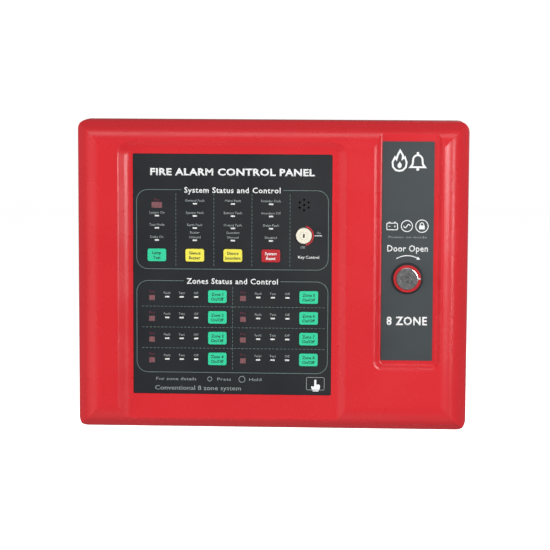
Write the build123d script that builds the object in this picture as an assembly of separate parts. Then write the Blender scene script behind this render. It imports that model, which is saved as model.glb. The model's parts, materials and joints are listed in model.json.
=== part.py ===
"""Eight zone conventional fire alarm control panel: a wall box with a hinged, lockable front cover.

Frame: X to the right, Y into the wall, Z up, millimetres. The origin is the centre of the four wall
fixing holes on the rear face, so everything lies at Y <= 0 and the front face is the most negative Y.
"""
import os
from math import atan2, cos, pi, sin, tan

from build123d import *

# Overall sizes
cover_width = 370.0
cover_height = 294.0
cover_stand = 32.0            # front of the cover beyond the rim of the box

# Front cover: a crowned shell with a sloped rim and two sunken channels
cover_wall = 2.6
outline_radius = 11.5
rim_run = 13.5
rim_rise = 21.0
crown_radius = 22.0
skirt_radius = 18.0           # where the sloped rim turns into the skirt
cover_overhang = 9.0          # cover beyond the box on every side
cover_lap = 6.0               # cover edge behind the rim of the box
channel_depth = 5.0
channel_lip = 4.0             # radius where a channel wall meets the front face

# Fascia channel, open at the bottom, and the fascia plate let into its floor
recess_left = 40.6
recess_top = 17.7
recess_corner = 15.0
recess_slope = 9.0            # how far its walls lean over their depth
recess_root = 14.0            # radius where its walls meet its floor
fascia_margin = 14.0
fascia_bottom = 35.0
fascia_thickness = 2.0
fascia_sink = 0.3
fascia_corner = 1.5
fascia_gap = 0.2
ledge_width = 6.0
ledge_thickness = 1.7

# Lock channel, open at the top, and its label
strip_right = 25.0
strip_width = 62.3
strip_bottom = 61.0
strip_corner = 8.0
strip_slope = 4.5
strip_root = 2.4
strip_gap = 27.0              # land between the two channels
label_gap = 0.2               # label clear of the rounded foot of the channel wall
label_right = 8.2
label_foot = 8.2
label_corner = 1.0
label_top = 18.7
label_thickness = 0.5

# Keys on the fascia
key_width = 17.6
key_height = 12.0
key_radius = 1.8
key_proud = 0.9
key_edge = 0.5
key_gap = 0.2
key_travel = 0.8
key_flange = 0.9              # how far the flange stands out round the cap
key_flange_thickness = 1.0
plunger_radius = 1.7

# Windows on the fascia
fire_lens_width = 5.6
fire_lens_height = 5.0
main_lens_width = 10.0
main_lens_height = 5.6
status_lens_width = 4.2
status_lens_height = 1.5
lens_gap = 0.05
lens_sink = 0.15

# Places on the fascia, from its edges
column_inset = 22.4           # left edge to the first status column
column_outset = 57.2          # right edge to the last status column
system_columns = 4
sound_inset = 26.2            # right edge to the sounder and key switch
status_row_drop = 46.7        # top edge to the first row of status windows
status_row_pitch = 11.5
status_rows = 4
system_key_drop = 95.3
main_lens_drop = 48.0
sounder_drop = 47.1
key_switch_drop = 76.0
zone_lens_inset = 17.6
zone_status_offset = 14.4
zone_status_pitch = 13.75
zone_status_count = 3
zone_key_offset = 62.0
zone_block_margins = 14.7
first_zone_drop = 134.3
last_zone_rise = 33.6
zone_rows = 4
zone_lens_drop = 1.6          # zone lens below the middle of its key
zone_status_drop = 0.6

# Sounder grille
grille_hole_radius = 1.05
grille_ring_radius = 4.8
grille_ring_count = 6
buzzer_radius = 6.0
buzzer_height = 8.0

# Display board behind the fascia
board_thickness = 1.6
display_standoff = 8.0
display_overlap = 6.5         # board beyond the fascia at each side
display_inset = 20.0          # board short of the fascia at top and bottom
display_screw_inset = 4.0
boss_radius = 3.2
screw_radius = 1.45
screw_clearance = 0.05
screw_head_radius = 2.8
screw_head_height = 1.8
screw_slot = 0.6
screw_bite = 6.5              # how far a board screw runs into its boss
board_clearance = 1.2         # round what stands through a board
tact_size = 6.0
tact_height = 3.6
tact_corner = 0.5
tact_well_radius = 2.1
tact_well_gap = 0.4           # foot of the well below the pressed plunger
led_radius = 1.5
fire_led_radius = 2.5
led_gap = 1.2                 # LED tip behind its window

# Door lock
lock_z = 0.0
lock_head_rim = 1.5           # round head beyond the thread
lock_head_height = 5.6
lock_thread_radius = 9.0
lock_plug_radius = 5.0
plug_gap = 0.05
keyway_width = 1.8
keyway_height = 6.0
keyway_depth = 12.0
keyway_drop = 0.6
barrel_short = 1.5            # lock barrel short of the cam
escutcheon_width = 2.2
escutcheon_height = 3.4
escutcheon_lean = 2.0
index_ring_width = 2.3
index_ring_height = 4.2
index_notch = 2.2
lock_nut_wall = 4.5           # thread to the flats of the nut
lock_nut_height = 3.5
cam_width = 12.0
cam_reach = 38.0
cam_thickness = 2.0
cam_square = 6.0
cam_square_gap = 0.05
cam_boss = 2.0                # round end of the cam beyond its width
cam_screw_length = 6.0
cam_screw_head = 4.4
cam_gap = 0.6                 # cam behind the strike lip

# Key switch on the fascia
switch_head_rim = 1.6
switch_head_height = 2.6
switch_body_radius = 5.8
switch_body_length = 19.0
switch_plug_radius = 4.0
switch_keyway_width = 1.6
switch_keyway_height = 3.4
switch_keyway_depth = 6.0
switch_nut_wall = 2.8
switch_nut_height = 2.2
switch_end = 4.0              # closed rear end of its housing
switch_tag_pitch = 3.0
switch_tag_thickness = 0.8
switch_tag_width = 2.4
switch_tag_length = 5.0
hole_gap = 0.2

# Wall box
box_wall = 2.8
box_corner = 8.0
battery_room = 4.6            # front battery to the rim of the box
fixing_spacing_x = 310.0
fixing_spacing_z = 224.0
fixing_hole_radius = 2.6
fixing_pad_radius = 9.0
fixing_pad_height = 1.6
knockout_radius = 10.0
knockout_groove = 1.0
knockout_skin = 0.8
knockout_count = 6
knockout_pitch = 50.0
rear_knockout_width = 70.0
rear_knockout_height = 26.0
rear_knockout_corner = 4.0
vent_width = 2.5
vent_length = 34.0
vent_pitch = 7.0
vent_count = 7

# Hinges
hinge_inset = 4.0             # cover's left edge to the hinge axis
hinge_gap = 0.4               # knuckle behind the cover's rear edge
knuckle_radius = 3.6
hinge_pin_radius = 1.5
hinge_running = 0.06
hinge_height = 95.0           # each hinge above and below the middle
door_knuckle = 14.0
box_knuckle = 8.0
knuckle_gap = 0.4
pin_head_radius = 2.4
pin_head_height = 1.2
hinge_arm_bite = 2.0          # how far a hinge arm is let into the cover

# Strike for the lock cam
strike_thickness = 1.5
strike_height = 32.0
strike_screw_span = 20.0
strike_screw_head = 2.6
strike_screw_head_height = 1.4
strike_lip = 13.0
strike_depth = 19.0
strike_pad = 4.0
strike_setback = 0.5          # lip behind the rim of the box

# Main board in the box
main_board_side = 23.2        # box inner wall to the board
main_board_top = 40.0
main_board_height = 142.0
main_standoff = 8.0
main_screw_inset = 6.0
terminal_pitch = 5.0
terminal_poles = 12
terminal_blocks = 4
terminal_depth = 11.0
terminal_height = 14.0
terminal_well_radius = 1.9
terminal_entry = 3.6
terminal_entry_rise = 3.4     # board to the wire entry
terminal_well_depth = 3.0
terminal_slope = 2.0          # chamfer along its edges
terminal_inset = 1.0          # edge of the board to the blocks
terminal_screw_radius = 1.7
terminal_screw_drop = 1.4     # face of the block to the head of its screw
terminal_screw_height = 1.6

# Parts on the boards
moulded_edge = 0.8            # rounded edge of moulded parts
pcb_corner = 2.0
pin_square = 0.64
pin_pitch = 2.54
header_width = 50.0
header_depth = 9.0
header_height = 9.0
header_wall = 1.5
header_base = 2.0
header_key = 5.0
header_pins = 17
main_header_drop = 8.0
display_header_drop = 60.0
chip_thickness = 2.2
chip_mark = 0.8               # radius of the pin one mark
controller_size = 14.0
controller_rise = 30.0
driver_width = 10.0
driver_height = 7.0
driver_count = 4
driver_pitch = 30.0
driver_drop = 25.0
relay_width = 15.0
relay_length = 19.0
relay_height = 15.0
relay_pitch = 20.0
relay_count = 4
relay_start = 30.0            # middle of the board to the first relay
relay_rise = 24.0
large_can = (8.0, 25.0)       # radius and height
small_can = (5.0, 16.0)
can_places = [                # each can, from the board's left edge and from its middle
    (large_can, 20.0, -44.0),
    (large_can, 40.0, -44.0),
    (small_can, 58.0, -48.0),
    (small_can, 58.0, -34.0),
]
heatsink_inset = 80.0
heatsink_rise = 18.0
heatsink_length = 66.0
heatsink_height = 26.0
heatsink_bar = 3.0
fin_depth = 10.0
fin_thickness = 1.4
fin_count = 12
regulator_count = 3
regulator_pitch = 21.0
regulator_start = 12.0
regulator_width = 10.0
regulator_tab = 15.0
regulator_body = 9.0
regulator_stand = 5.0
regulator_tab_thickness = 1.3
regulator_thickness = 4.5
fuse_inset = 70.0
fuse_rise = 20.0
fuse_pitch = 26.0
fuse_count = 3
fuse_radius = 2.5
fuse_length = 20.0
fuse_cap = 4.8
fuse_cap_wall = 0.15
fuse_lift = 6.2               # board to the middle of a fuse
holder_width = 23.0
holder_depth = 8.0
holder_base = 3.0
holder_height = 9.0
clip_width = 4.0
clip_inset = 3.0
mains_width = 36.0
mains_depth = 16.0
mains_height = 16.0
mains_pitch = 11.0
mains_well_radius = 2.6
mains_entry = 5.0
mains_gap = 8.0               # transformer to the mains terminal
earth_inset = 26.0
earth_rise = 17.0
earth_boss = 4.0
washer_radius = 4.2
washer_thickness = 0.8

# Batteries and transformer
battery_length = 178.0
battery_thickness = 34.0
battery_height = 60.0
battery_gap = 0.3
battery_offset = -41.0        # middle of the batteries from the middle of the box
battery_edge = 2.0
lid_drop = 6.2                # top of a battery to the groove under its lid
lid_groove = 0.8
lid_groove_depth = 0.5
tab_inset = 14.0
tab_base = (8.0, 6.0, 1.0)
tab_width = 4.8
tab_height = 5.5
tab_thickness = 0.8
clamp_width = 24.0
clamp_thickness = 1.2
clamp_drop = 26.0
clamp_boss = 6.0
clamp_flange = 16.0
fence_height = 14.0
fence_thickness = 2.0
core_width = 66.0
core_height = 55.0
core_stack = 23.0
core_leg = 11.0
foot_length = 14.0
foot_width = 16.0
foot_thickness = 1.2
foot_screw_length = 8.0
coil_depth = 44.0
coil_gap = 0.2
coil_edge = 3.0
transformer_offset = 100.0    # from the middle of the box
transformer_rise = 8.0

# Levels and edges worked out from the sizes above
box_depth = box_wall + 2 * (battery_gap + battery_thickness) + battery_room
overall_depth = box_depth + cover_stand
lock_head_radius = lock_thread_radius + lock_head_rim
index_ring_radius = lock_head_radius + index_ring_width
escutcheon_radius = index_ring_radius + escutcheon_width
lock_nut_radius = lock_thread_radius + lock_nut_wall
switch_head_radius = switch_body_radius + switch_head_rim
switch_nut_radius = switch_body_radius + switch_nut_wall
front = -overall_depth
floor = front + channel_depth
box_front = -box_depth
cover_rear = box_front + cover_lap
rim_back = front + rim_rise
half_width = cover_width / 2
half_height = cover_height / 2
fascia_front = floor + fascia_sink
fascia_rear = fascia_front + fascia_thickness
ledge_rear = fascia_rear + ledge_thickness
strip_rear = floor + cover_wall
display_front = ledge_rear + display_standoff
display_rear = display_front + board_thickness

strip_x1 = half_width - strip_right
strip_x0 = strip_x1 - strip_width
recess_x0 = -half_width + recess_left
recess_x1 = strip_x0 - strip_gap
recess_z1 = half_height - recess_top
strip_z0 = -half_height + strip_bottom
fascia_x0 = recess_x0 + fascia_margin
fascia_x1 = recess_x1 - fascia_margin
fascia_z1 = recess_z1 - fascia_margin
fascia_z0 = -half_height + fascia_bottom
fascia_width = fascia_x1 - fascia_x0
fascia_height = fascia_z1 - fascia_z0
fascia_x = (fascia_x0 + fascia_x1) / 2
fascia_z = (fascia_z0 + fascia_z1) / 2
label_x0 = strip_x0 + strip_slope + strip_root * tan(atan2(channel_depth, strip_slope) / 2) + label_gap
label_x1 = strip_x1 - label_right
label_z0 = strip_z0 + label_foot
label_z1 = half_height - label_top
lock_x = (label_x0 + label_x1) / 2

box_width = cover_width - 2 * cover_overhang
box_height = cover_height - 2 * cover_overhang
inner_x = box_width / 2 - box_wall
inner_z = box_height / 2 - box_wall

hinge_x = -half_width + hinge_inset
hinge_y = cover_rear + hinge_gap + knuckle_radius
hinge_reach = door_knuckle / 2 + knuckle_gap + box_knuckle
strike_lip_rear = box_front + strike_setback + strike_thickness
cam_front = strike_lip_rear + cam_gap
main_board_rear = -box_wall - main_standoff
main_board_front = main_board_rear - board_thickness

# Places of the keys and windows
column_pitch = (fascia_width - column_inset - column_outset) / (system_columns - 1)
columns = [fascia_x0 + column_inset + column_pitch * i for i in range(system_columns)]
status_rows_z = [fascia_z1 - status_row_drop - status_row_pitch * i for i in range(status_rows)]
system_key_z = fascia_z1 - system_key_drop
zone_block = (fascia_width - zone_block_margins) / 2
zone_row_pitch = (fascia_height - first_zone_drop - last_zone_rise) / (zone_rows - 1)
zone_key_places = [
    (fascia_x0 + zone_lens_inset + zone_key_offset + zone_block * side,
     fascia_z1 - first_zone_drop - zone_row_pitch * row)
    for side in range(2) for row in range(zone_rows)
]
zone_lens_places = [(x - zone_key_offset, z - zone_lens_drop) for x, z in zone_key_places]
main_lens_place = (columns[0], fascia_z1 - main_lens_drop)
status_places = [
    (x, z) for i, x in enumerate(columns) for j, z in enumerate(status_rows_z) if i or j
] + [
    (x - zone_key_offset + zone_status_offset + zone_status_pitch * k, z - zone_status_drop)
    for x, z in zone_key_places for k in range(zone_status_count)
]
sound_x = fascia_x1 - sound_inset
sounder_place = (sound_x, fascia_z1 - sounder_drop)
key_switch_place = (sound_x, fascia_z1 - key_switch_drop)
grille_places = [sounder_place] + [
    (sounder_place[0] + grille_ring_radius * sin(2 * pi * k / grille_ring_count),
     sounder_place[1] + grille_ring_radius * cos(2 * pi * k / grille_ring_count))
    for k in range(grille_ring_count)
]
key_places = dict(zip(
    ["key_lamp_test", "key_silence_buzzer", "key_silence_sounders", "key_reset"]
    + [f"key_zone_{n + 1}" for n in range(2 * zone_rows)],
    [(x, system_key_z) for x in columns] + zone_key_places,
))
display_half = fascia_width / 2 + display_overlap
display_screws = [
    (fascia_x + sx * (display_half - display_screw_inset),
     fascia_z + sz * (fascia_height / 2 - display_inset - display_screw_inset))
    for sx in (-1, 1) for sz in (-1, 0, 1)
]
fixing_places = [(sx * fixing_spacing_x / 2, sz * fixing_spacing_z / 2) for sx in (-1, 1) for sz in (-1, 1)]
main_board_x = inner_x - main_board_side
main_board_z1 = inner_z - main_board_top
main_board_z0 = main_board_z1 - main_board_height
main_board_z = (main_board_z0 + main_board_z1) / 2
main_screws = [
    (sx * (main_board_x - main_screw_inset), z)
    for sx in (-1, 0, 1) for z in (main_board_z0 + main_screw_inset, main_board_z1 - main_screw_inset)
]
battery_x0 = battery_offset - battery_length / 2
battery_x1 = battery_offset + battery_length / 2
battery_z0 = -inner_z + battery_gap
battery_z1 = battery_z0 + battery_height
battery_front = -box_wall - 2 * (battery_gap + battery_thickness)
clamp_z = battery_z1 + battery_gap
transformer_z = -inner_z + transformer_rise + core_height / 2
core_rear = -box_wall - (coil_depth - core_stack) / 2 - coil_gap


def facing(y):
    """Plane at depth y that looks out of the front: local x is X, local y is Z."""
    return Plane(origin=(0, y, 0), x_dir=(1, 0, 0), z_dir=(0, -1, 0))


def plate(width, height, y0, y1, x=0.0, z=0.0, radius=0.0):
    """Flat piece from depth y0 back to y1 with rounded corners, centred on (x, z)."""
    shape = RectangleRounded(width, height, radius) if radius else Rectangle(width, height)
    return extrude(facing(y1) * Pos(x, z) * shape, y1 - y0)


def rod(radius, y0, y1, x=0.0, z=0.0):
    """Round piece along Y from depth y0 back to y1."""
    return extrude(facing(y1) * Pos(x, z) * Circle(radius), y1 - y0)


def block(x0, x1, y0, y1, z0, z1):
    """Box between two corners."""
    return Pos((x0 + x1) / 2, (y0 + y1) / 2, (z0 + z1) / 2) * Box(x1 - x0, y1 - y0, z1 - z0)


def upright(radius, z0, z1, x, y):
    """Round piece along Z."""
    return Pos(x, y, (z0 + z1) / 2) * Cylinder(radius, z1 - z0)


def hexagon(across, y0, y1, x, z):
    """Hexagonal piece along Y, measured over its flats."""
    return extrude(facing(y1) * Pos(x, z) * RegularPolygon(across, 6, major_radius=False), y1 - y0)


def near(edges, y):
    """The edges that lie at depth y."""
    return edges.filter_by(lambda e: abs(e.bounding_box().min.Y - y) < 1e-4
                           and abs(e.bounding_box().max.Y - y) < 1e-4)


def softened(body, y, radius=moulded_edge):
    """The body with the edges of its face at depth y rounded."""
    return fillet(near(body.edges(), y), radius)


def screw(x, z, seat, length, radius=screw_radius, head=screw_head_radius, height=screw_head_height):
    """Pan head screw driven towards the front from depth seat, with a cross slot in its head."""
    body = rod(radius, seat - length, seat, x, z) + rod(head, seat, seat + height, x, z)
    top = seat + height
    for wide, tall in ((head, screw_slot), (screw_slot, head)):
        body -= plate(wide, tall, top - height / 2, top + 1, x, z)
    return body


def screw_in(x, z, seat, length, radius=screw_radius, head=screw_head_radius, height=screw_head_height):
    """The same screw driven towards the wall."""
    return mirror(screw(x, z, -seat, length, radius, head, height), Plane.XZ)


def crown_section(span, inset, rear):
    """Section of the cover across its span: straight skirt, sloped rim, rounded crown and flat front."""
    half = span / 2
    section = make_face(Polyline(
        (-half, rear), (-half, rim_back), (-half + rim_run, front),
        (half - rim_run, front), (half, rim_back), (half, rear), close=True))
    section = fillet(section.vertices().sort_by(Axis.Y)[:2], crown_radius)
    section = fillet([v for v in section.vertices() if abs(v.Y - rim_back) < 1e-3], skirt_radius)
    return offset(section, -inset) if inset else section


def cover_block(inset, rear):
    """The crowned block of the cover, smaller by inset on every side but the rear."""
    across = extrude(crown_section(cover_width, inset, rear + inset), cover_height, both=True)
    along = Rot(0, 90, 0) * extrude(crown_section(cover_height, inset, rear + inset), cover_width, both=True)
    outline = plate(cover_width - 2 * inset, cover_height - 2 * inset, front, rear,
                    radius=outline_radius - inset)
    return across & along & outline


def channel(x0, x1, closed, opened, corner, slope, root):
    """Cutter for a sunken channel with sloped walls, closed at one end and running out at the other."""
    sign = 1 if closed > opened else -1

    def section(y, spread=0.0):
        """Outline of the channel at depth y, opened out by spread."""
        lean = spread - slope * (y - front) / channel_depth
        end = closed + sign * lean
        sketch = Pos((x0 + x1) / 2, (end + opened) / 2) * Rectangle(x1 - x0 + 2 * lean, abs(end - opened))
        ends = sketch.vertices().sort_by(Axis.Y)
        return facing(y) * fillet(ends[2:] if sign > 0 else ends[:2], corner + lean)

    def wall_edges(cutter, y):
        """Edges of the cutter that the walls make at depth y: the outline without its open end."""
        middles = [e.center() for e in section(y).edges() if abs(e.center().Z - opened) > 1e-3]
        return cutter.edges().filter_by(lambda e: any((e.center() - m).length < 1e-3 for m in middles))

    cutter = loft([section(floor), section(front)], ruled=True)
    cutter = fillet(wall_edges(cutter, floor), root)
    cutter += extrude(section(front, 2 * channel_lip), 1)
    return fillet(wall_edges(cutter, front), channel_lip)


def door_cover():
    """Moulded front cover with its channels, fascia window, board bosses and hinge knuckles."""
    beyond = cover_height
    recess = channel(recess_x0, recess_x1, recess_z1, -beyond, recess_corner,
                     recess_slope, recess_root)
    strip = channel(strip_x0, strip_x1, strip_z0, beyond, strip_corner, strip_slope, strip_root)
    hollow = cover_block(cover_wall, cover_rear + 1)
    behind_recess = plate(recess_x1 - recess_x0 + 2 * cover_wall, beyond + recess_z1 + cover_wall, front,
                          ledge_rear, (recess_x0 + recess_x1) / 2, (recess_z1 + cover_wall - beyond) / 2,
                          recess_corner)
    behind_strip = plate(strip_width + 2 * cover_wall, beyond - strip_z0 + cover_wall, front, strip_rear,
                         (strip_x0 + strip_x1) / 2, (strip_z0 - cover_wall + beyond) / 2, strip_corner)
    body = cover_block(0, cover_rear) - recess - strip
    body -= hollow - behind_recess - behind_strip
    body -= plate(fascia_width + 2 * fascia_gap, fascia_height + 2 * fascia_gap, floor - 1, fascia_rear,
                  fascia_x, fascia_z, fascia_corner)
    body -= plate(fascia_width - 2 * ledge_width, fascia_height - 2 * ledge_width, floor, ledge_rear + 1,
                  fascia_x, fascia_z, fascia_corner)
    body -= rod(lock_thread_radius + hole_gap, floor - 1, strip_rear + 1, lock_x, lock_z)
    for x, z in display_screws:
        body += rod(boss_radius, ledge_rear, display_front, x, z)
        body -= rod(screw_radius + screw_clearance, ledge_rear, display_front, x, z)
    for side in (-1, 1):
        z = side * hinge_height
        low, high = z - door_knuckle / 2, z + door_knuckle / 2
        body += block(-half_width, hinge_x, cover_rear - hinge_arm_bite, hinge_y, low, high)
        body += upright(knuckle_radius, low, high, hinge_x, hinge_y)
        body -= upright(hinge_pin_radius + hinge_running, low - 1, high + 1, hinge_x, hinge_y)
    return body


def fascia_plate():
    """Printed control plate with its key, window, sounder and key switch holes."""
    body = plate(fascia_width, fascia_height, fascia_front, fascia_rear, fascia_x, fascia_z, fascia_corner)
    through = (fascia_front - 1, fascia_rear + 1)
    for x, z in key_places.values():
        body -= plate(key_width + 2 * key_gap, key_height + 2 * key_gap, *through, x, z,
                      key_radius + key_gap)
    for x, z in zone_lens_places:
        body -= plate(fire_lens_width, fire_lens_height, *through, x, z)
    body -= plate(main_lens_width, main_lens_height, *through, *main_lens_place)
    for x, z in status_places:
        body -= plate(status_lens_width, status_lens_height, *through, x, z)
    for x, z in grille_places:
        body -= rod(grille_hole_radius, *through, x, z)
    return body - rod(switch_body_radius + hole_gap, *through, *key_switch_place)


def lens(width, height, x, z):
    """Clear window pressed into the fascia, just below its face."""
    return plate(width - 2 * lens_gap, height - 2 * lens_gap, fascia_front + lens_sink, fascia_rear, x, z)


def fire_lenses():
    return [lens(main_lens_width, main_lens_height, *main_lens_place)] + [
        lens(fire_lens_width, fire_lens_height, x, z) for x, z in zone_lens_places]


def status_lenses():
    return [lens(status_lens_width, status_lens_height, x, z) for x, z in status_places]


def led(radius, x, z):
    """Round LED with a domed tip, standing on the display board."""
    tip = fascia_rear + led_gap
    body = rod(radius, tip, display_front, x, z) + rod(radius + 0.3, display_front - 1, display_front, x, z)
    return softened(body, tip, radius * 0.9)


def fire_leds():
    return [led(fire_led_radius, x, z) for x, z in [main_lens_place] + zone_lens_places]


def status_leds():
    return [led(led_radius, x, z) for x, z in status_places]


def key(x, z):
    """Key cap with its retaining flange, and the plunger that reaches into its switch."""
    cap = plate(key_width, key_height, fascia_front - key_proud, fascia_rear, x, z, key_radius)
    cap = softened(cap, fascia_front - key_proud, key_edge)
    flange_rear = fascia_rear + key_flange_thickness
    cap += plate(key_width + 2 * key_flange, key_height + 2 * key_flange, fascia_rear, flange_rear, x, z,
                 key_radius)
    tip = display_front - tact_height / 2 - key_travel
    return cap + rod(plunger_radius, flange_rear, tip, x, z)


def tact_switches():
    """Tactile switch bodies, each with a well for its plunger."""
    top = display_front - tact_height
    well_foot = display_front - tact_height / 2 + tact_well_gap
    return [
        plate(tact_size, tact_size, top, display_front, x, z, tact_corner)
        - rod(tact_well_radius, top - 1, well_foot, x, z)
        for x, z in key_places.values()
    ]


def display_board():
    through = (display_front - 1, display_rear + 1)
    body = plate(2 * display_half, fascia_height - 2 * display_inset, display_front, display_rear,
                 fascia_x, fascia_z, pcb_corner)
    for x, z in display_screws:
        body -= rod(screw_radius + hole_gap, *through, x, z)
    return body - rod(switch_nut_radius + board_clearance, *through, *key_switch_place)


def display_board_screws():
    return [screw(x, z, display_rear, board_thickness + screw_bite) for x, z in display_screws]


def buzzer():
    """Round sounder behind its ring of holes."""
    x, z = sounder_place
    top = display_front - buzzer_height
    body = softened(rod(buzzer_radius, top, display_front, x, z), top)
    return body - rod(grille_hole_radius, top - 1, top + 3, x, z)


def chip(width, height, x, z):
    """Moulded chip on the rear of the display board, with its pin one mark."""
    face = display_rear + chip_thickness
    body = plate(width, height, display_rear, face, x, z)
    return body - rod(chip_mark, face - chip_mark / 2, face + 1, x - width / 2 + 2, z + height / 2 - 2)


def display_controller():
    """Controller and drivers on the rear of the display board."""
    first = fascia_x - driver_pitch * (driver_count - 1) / 2
    return [chip(controller_size, controller_size, fascia_x, fascia_z + controller_rise)] + [
        chip(driver_width, driver_height, first + driver_pitch * k, fascia_z - driver_drop)
        for k in range(driver_count)]


def header(x, z, surface, away):
    """Shrouded ribbon socket with its pin field; away is +1 towards the wall."""
    def span(low, high):
        return sorted((surface + away * low, surface + away * high))
    body = plate(header_width, header_depth, *span(0, header_height), x, z)
    body -= plate(header_width - 2 * header_wall, header_depth - 2 * header_wall,
                  *span(header_base, header_height + 1), x, z)
    body -= plate(header_key, 2 * header_wall, *span(header_base, header_height + 1), x,
                  z - header_depth / 2)
    for k in range(header_pins):
        for row in (-1, 1):
            body += plate(pin_square, pin_square, *span(header_base - 0.5, header_height - header_wall),
                          x + pin_pitch * (k - (header_pins - 1) / 2), z + row * pin_pitch / 2)
    return body


def lock_label():
    """Printed label on the floor of the lock channel."""
    body = plate(label_x1 - label_x0, label_z1 - label_z0, floor - label_thickness, floor, lock_x,
                 (label_z0 + label_z1) / 2, label_corner)
    return body - rod(lock_thread_radius + hole_gap, floor - 2, floor + 1, lock_x, lock_z)


def lock_escutcheon():
    """Conical collar round the lock head."""
    base = floor - label_thickness
    body = Pos(lock_x, base - escutcheon_height / 2, lock_z) * Rot(90, 0, 0) * Cone(
        escutcheon_radius, escutcheon_radius - escutcheon_lean, escutcheon_height)
    return body - rod(index_ring_radius, base - escutcheon_height - 1, base + 1, lock_x, lock_z)


def lock_index_ring():
    """Coloured ring inside the collar, notched where the lock's index mark is."""
    base = floor - label_thickness
    body = rod(index_ring_radius, base - index_ring_height, base, lock_x, lock_z)
    body = chamfer(near(body.edges(), base - index_ring_height), 0.4)
    body -= rod(lock_head_radius + plug_gap, base - index_ring_height - 1, base + 1, lock_x, lock_z)
    return body - block(lock_x + lock_head_radius - 1, lock_x + index_ring_radius + 1,
                        base - index_ring_height - 1, base - index_ring_height + 1,
                        lock_z - index_notch / 2, lock_z + index_notch / 2)


def lock_body():
    """Lock housing: round head outside, threaded barrel through the cover, bored for the plug."""
    base = floor - label_thickness
    head = rod(lock_head_radius, base - lock_head_height, base, lock_x, lock_z)
    head = softened(head, base - lock_head_height, 1.0)
    body = head + rod(lock_thread_radius, base, cam_front - barrel_short, lock_x, lock_z)
    return body - rod(lock_plug_radius + plug_gap, base - lock_head_height - 1, cam_front, lock_x, lock_z)


def lock_nut():
    body = hexagon(lock_nut_radius, strip_rear, strip_rear + lock_nut_height, lock_x, lock_z)
    return body - rod(lock_thread_radius + plug_gap, strip_rear - 1, strip_rear + lock_nut_height + 1,
                      lock_x, lock_z)


def lock_plug():
    """Turning plug with its keyway and the square that carries the cam."""
    head = floor - label_thickness - lock_head_height
    body = rod(lock_plug_radius, head, cam_front, lock_x, lock_z)
    body = chamfer(near(body.edges(), head), 0.3)
    body += plate(cam_square, cam_square, cam_front, cam_front + cam_thickness, lock_x, lock_z)
    body -= plate(keyway_width, keyway_height, head - 1, head + keyway_depth, lock_x, lock_z - keyway_drop)
    return body - rod(screw_radius + screw_clearance, cam_front - cam_screw_length, cam_front + cam_thickness,
                      lock_x, lock_z)


def lock_cam():
    """Flat tongue that hangs down when the lock is open and swings behind the strike."""
    rear = cam_front + cam_thickness
    body = rod(cam_width / 2 + cam_boss, cam_front, rear, lock_x, lock_z)
    body += plate(cam_width, cam_reach, cam_front, rear, lock_x, lock_z - cam_reach / 2, cam_boss)
    square = cam_square + 2 * cam_square_gap
    return body - plate(square, square, cam_front - 1, rear + 1, lock_x, lock_z)


def lock_cam_screw():
    return screw(lock_x, lock_z, cam_front + cam_thickness, cam_screw_length, head=cam_screw_head)


def key_switch_body():
    """Housing of the small key switch, with three solder tags."""
    x, z = key_switch_place
    head = rod(switch_head_radius, fascia_front - switch_head_height, fascia_front, x, z)
    head = softened(head, fascia_front - switch_head_height)
    rear = fascia_rear + switch_body_length
    body = head + rod(switch_body_radius, fascia_front, rear, x, z)
    body -= rod(switch_plug_radius + plug_gap, fascia_front - switch_head_height - 1, rear - switch_end, x, z)
    for k in (-1, 0, 1):
        body += Pos(x + switch_tag_pitch * k, rear + switch_tag_length / 2, z) * Box(
            switch_tag_thickness, switch_tag_length, switch_tag_width)
    return body


def key_switch_nut():
    x, z = key_switch_place
    body = hexagon(switch_nut_radius, fascia_rear, fascia_rear + switch_nut_height, x, z)
    return body - rod(switch_body_radius + plug_gap, fascia_rear - 1,
                      fascia_rear + switch_nut_height + 1, x, z)


def key_switch_plug():
    x, z = key_switch_place
    head = fascia_front - switch_head_height
    body = rod(switch_plug_radius, head, fascia_rear + switch_body_length - switch_end - 1, x, z)
    body = chamfer(near(body.edges(), head), 0.3)
    return body - plate(switch_keyway_width, switch_keyway_height, head - 1,
                        head + switch_keyway_depth, x, z)


def vents(side):
    """Upright slots through a side wall, low down beside the batteries and transformer."""
    slots = []
    for k in range(vent_count):
        y = -box_depth / 2 + vent_pitch * (k - (vent_count - 1) / 2)
        x = side * (box_width / 2 - box_wall / 2)
        slot = block(x - box_wall, x + box_wall, y - vent_width / 2, y + vent_width / 2,
                     -vent_length / 2, vent_length / 2)
        slots.append(Pos(0, 0, -inner_z / 2) * fillet(slot.edges().filter_by(Axis.X), vent_width * 0.45))
    return slots


def knockout(x):
    """Ring groove in the top wall that leaves a thin skin to break out."""
    ring = Cylinder(knockout_radius, box_wall) - Cylinder(knockout_radius - knockout_groove, box_wall)
    return Pos(x, -box_depth / 2, box_height / 2 - knockout_skin) * ring


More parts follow.
